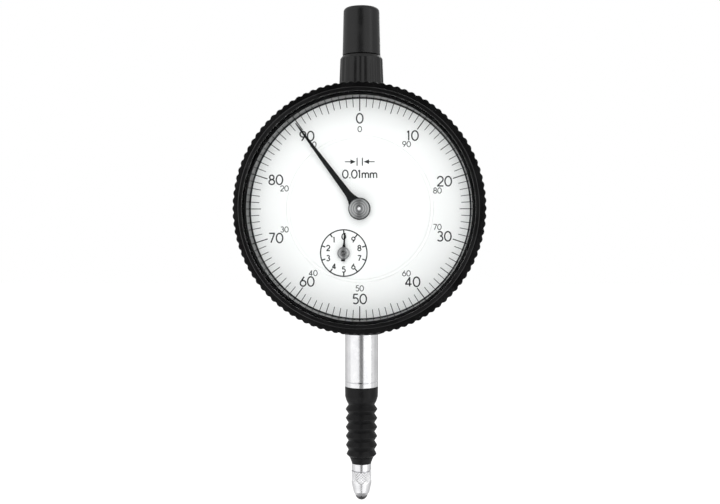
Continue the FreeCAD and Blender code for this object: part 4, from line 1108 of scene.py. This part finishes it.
def soft_box(name, azimuth, elevation, distance, size, brightness):
    """Rectangular soft box that looks at the dial from an azimuth and an elevation in degrees."""
    light = bpy.data.lights.new(name, "AREA")
    light.shape = "RECTANGLE"
    light.size, light.size_y = size
    light.energy = brightness * math.pi * size[0] * size[1]
    lamp = bpy.data.objects.new(name, light)
    turn, lift = math.radians(azimuth), math.radians(elevation)
    lamp.location = DIAL + distance * Vector((math.sin(turn) * math.cos(lift),
                                              -math.cos(turn) * math.cos(lift), math.sin(lift)))
    lamp.rotation_euler = (DIAL - lamp.location).to_track_quat("-Z", "Y").to_euler()
    lamp.visible_camera = False
    bpy.context.scene.collection.objects.link(lamp)
    return lamp


def build_lights():
    """Side boxes that only reflections see, a fill that only matt surfaces see, and three for both."""
    reach, height = 0.5, 1.5
    for name, start, end, brightness in (("left_box", -80, -12, 0.76), ("left_wing", -112, -80, 0.50),
                                         ("left_back", -160, -112, 0.32), ("right_box", 12, 68, 0.86),
                                         ("right_wing", 68, 104, 0.46), ("right_back", 104, 150, 0.28)):
        width = 2 * reach * math.tan(math.radians(end - start) / 2)
        side = soft_box(name, (start + end) / 2, 0, reach, (width, height), brightness)
        side.visible_diffuse = False
    fill = soft_box("front_fill", 0, 22, 0.9, (0.9, 0.9), 2.3)
    fill.visible_glossy = False
    soft_box("right_strip", 64, 0, 0.4, (0.10, 0.5), 0.8)
    soft_box("top_box", 0, 85, 0.7, (0.8, 0.6), 0.4)
    soft_box("rear_box", 172, 32, 0.6, (0.32, 0.45), 2.0)


def build_world():
    """White to the camera, dimmer to everything that it lights."""
    world = bpy.data.worlds.new("studio")
    world.use_nodes = True
    tree = world.node_tree
    background = tree.nodes["Background"]
    background.inputs["Color"].default_value = (1, 1, 1, 1)
    rays = tree.nodes.new("ShaderNodeLightPath")
    strength = ranged(tree, rays.outputs["Is Camera Ray"], 0, 1, 0.33, 1)
    tree.links.new(strength, background.inputs["Strength"])
    bpy.context.scene.world = world


def build_camera():
    """Near camera at the dial's height, a little to the right and tipped down."""
    focal_pixels, picture_width, sensor_width = 970, 720, 36
    distance, rise = 0.235, -0.0046
    azimuth, tilt, swing = (math.radians(angle) for angle in (3.0, 1.385, 0.09))
    camera = bpy.data.cameras.new("camera")
    camera.sensor_width = sensor_width
    camera.lens = sensor_width * focal_pixels / picture_width
    camera.clip_start = 0.01
    eye = bpy.data.objects.new("camera", camera)
    eye.location = DIAL + Vector((distance * math.sin(azimuth), -distance * math.cos(azimuth), rise))
    eye.rotation_euler = (math.pi / 2 - tilt, 0, azimuth + swing)
    bpy.context.scene.collection.objects.link(eye)
    bpy.context.scene.camera = eye


build_floor()
build_camera_card()
build_lights()
build_world()
build_camera()
bpy.context.scene.view_settings.view_transform = "Standard"
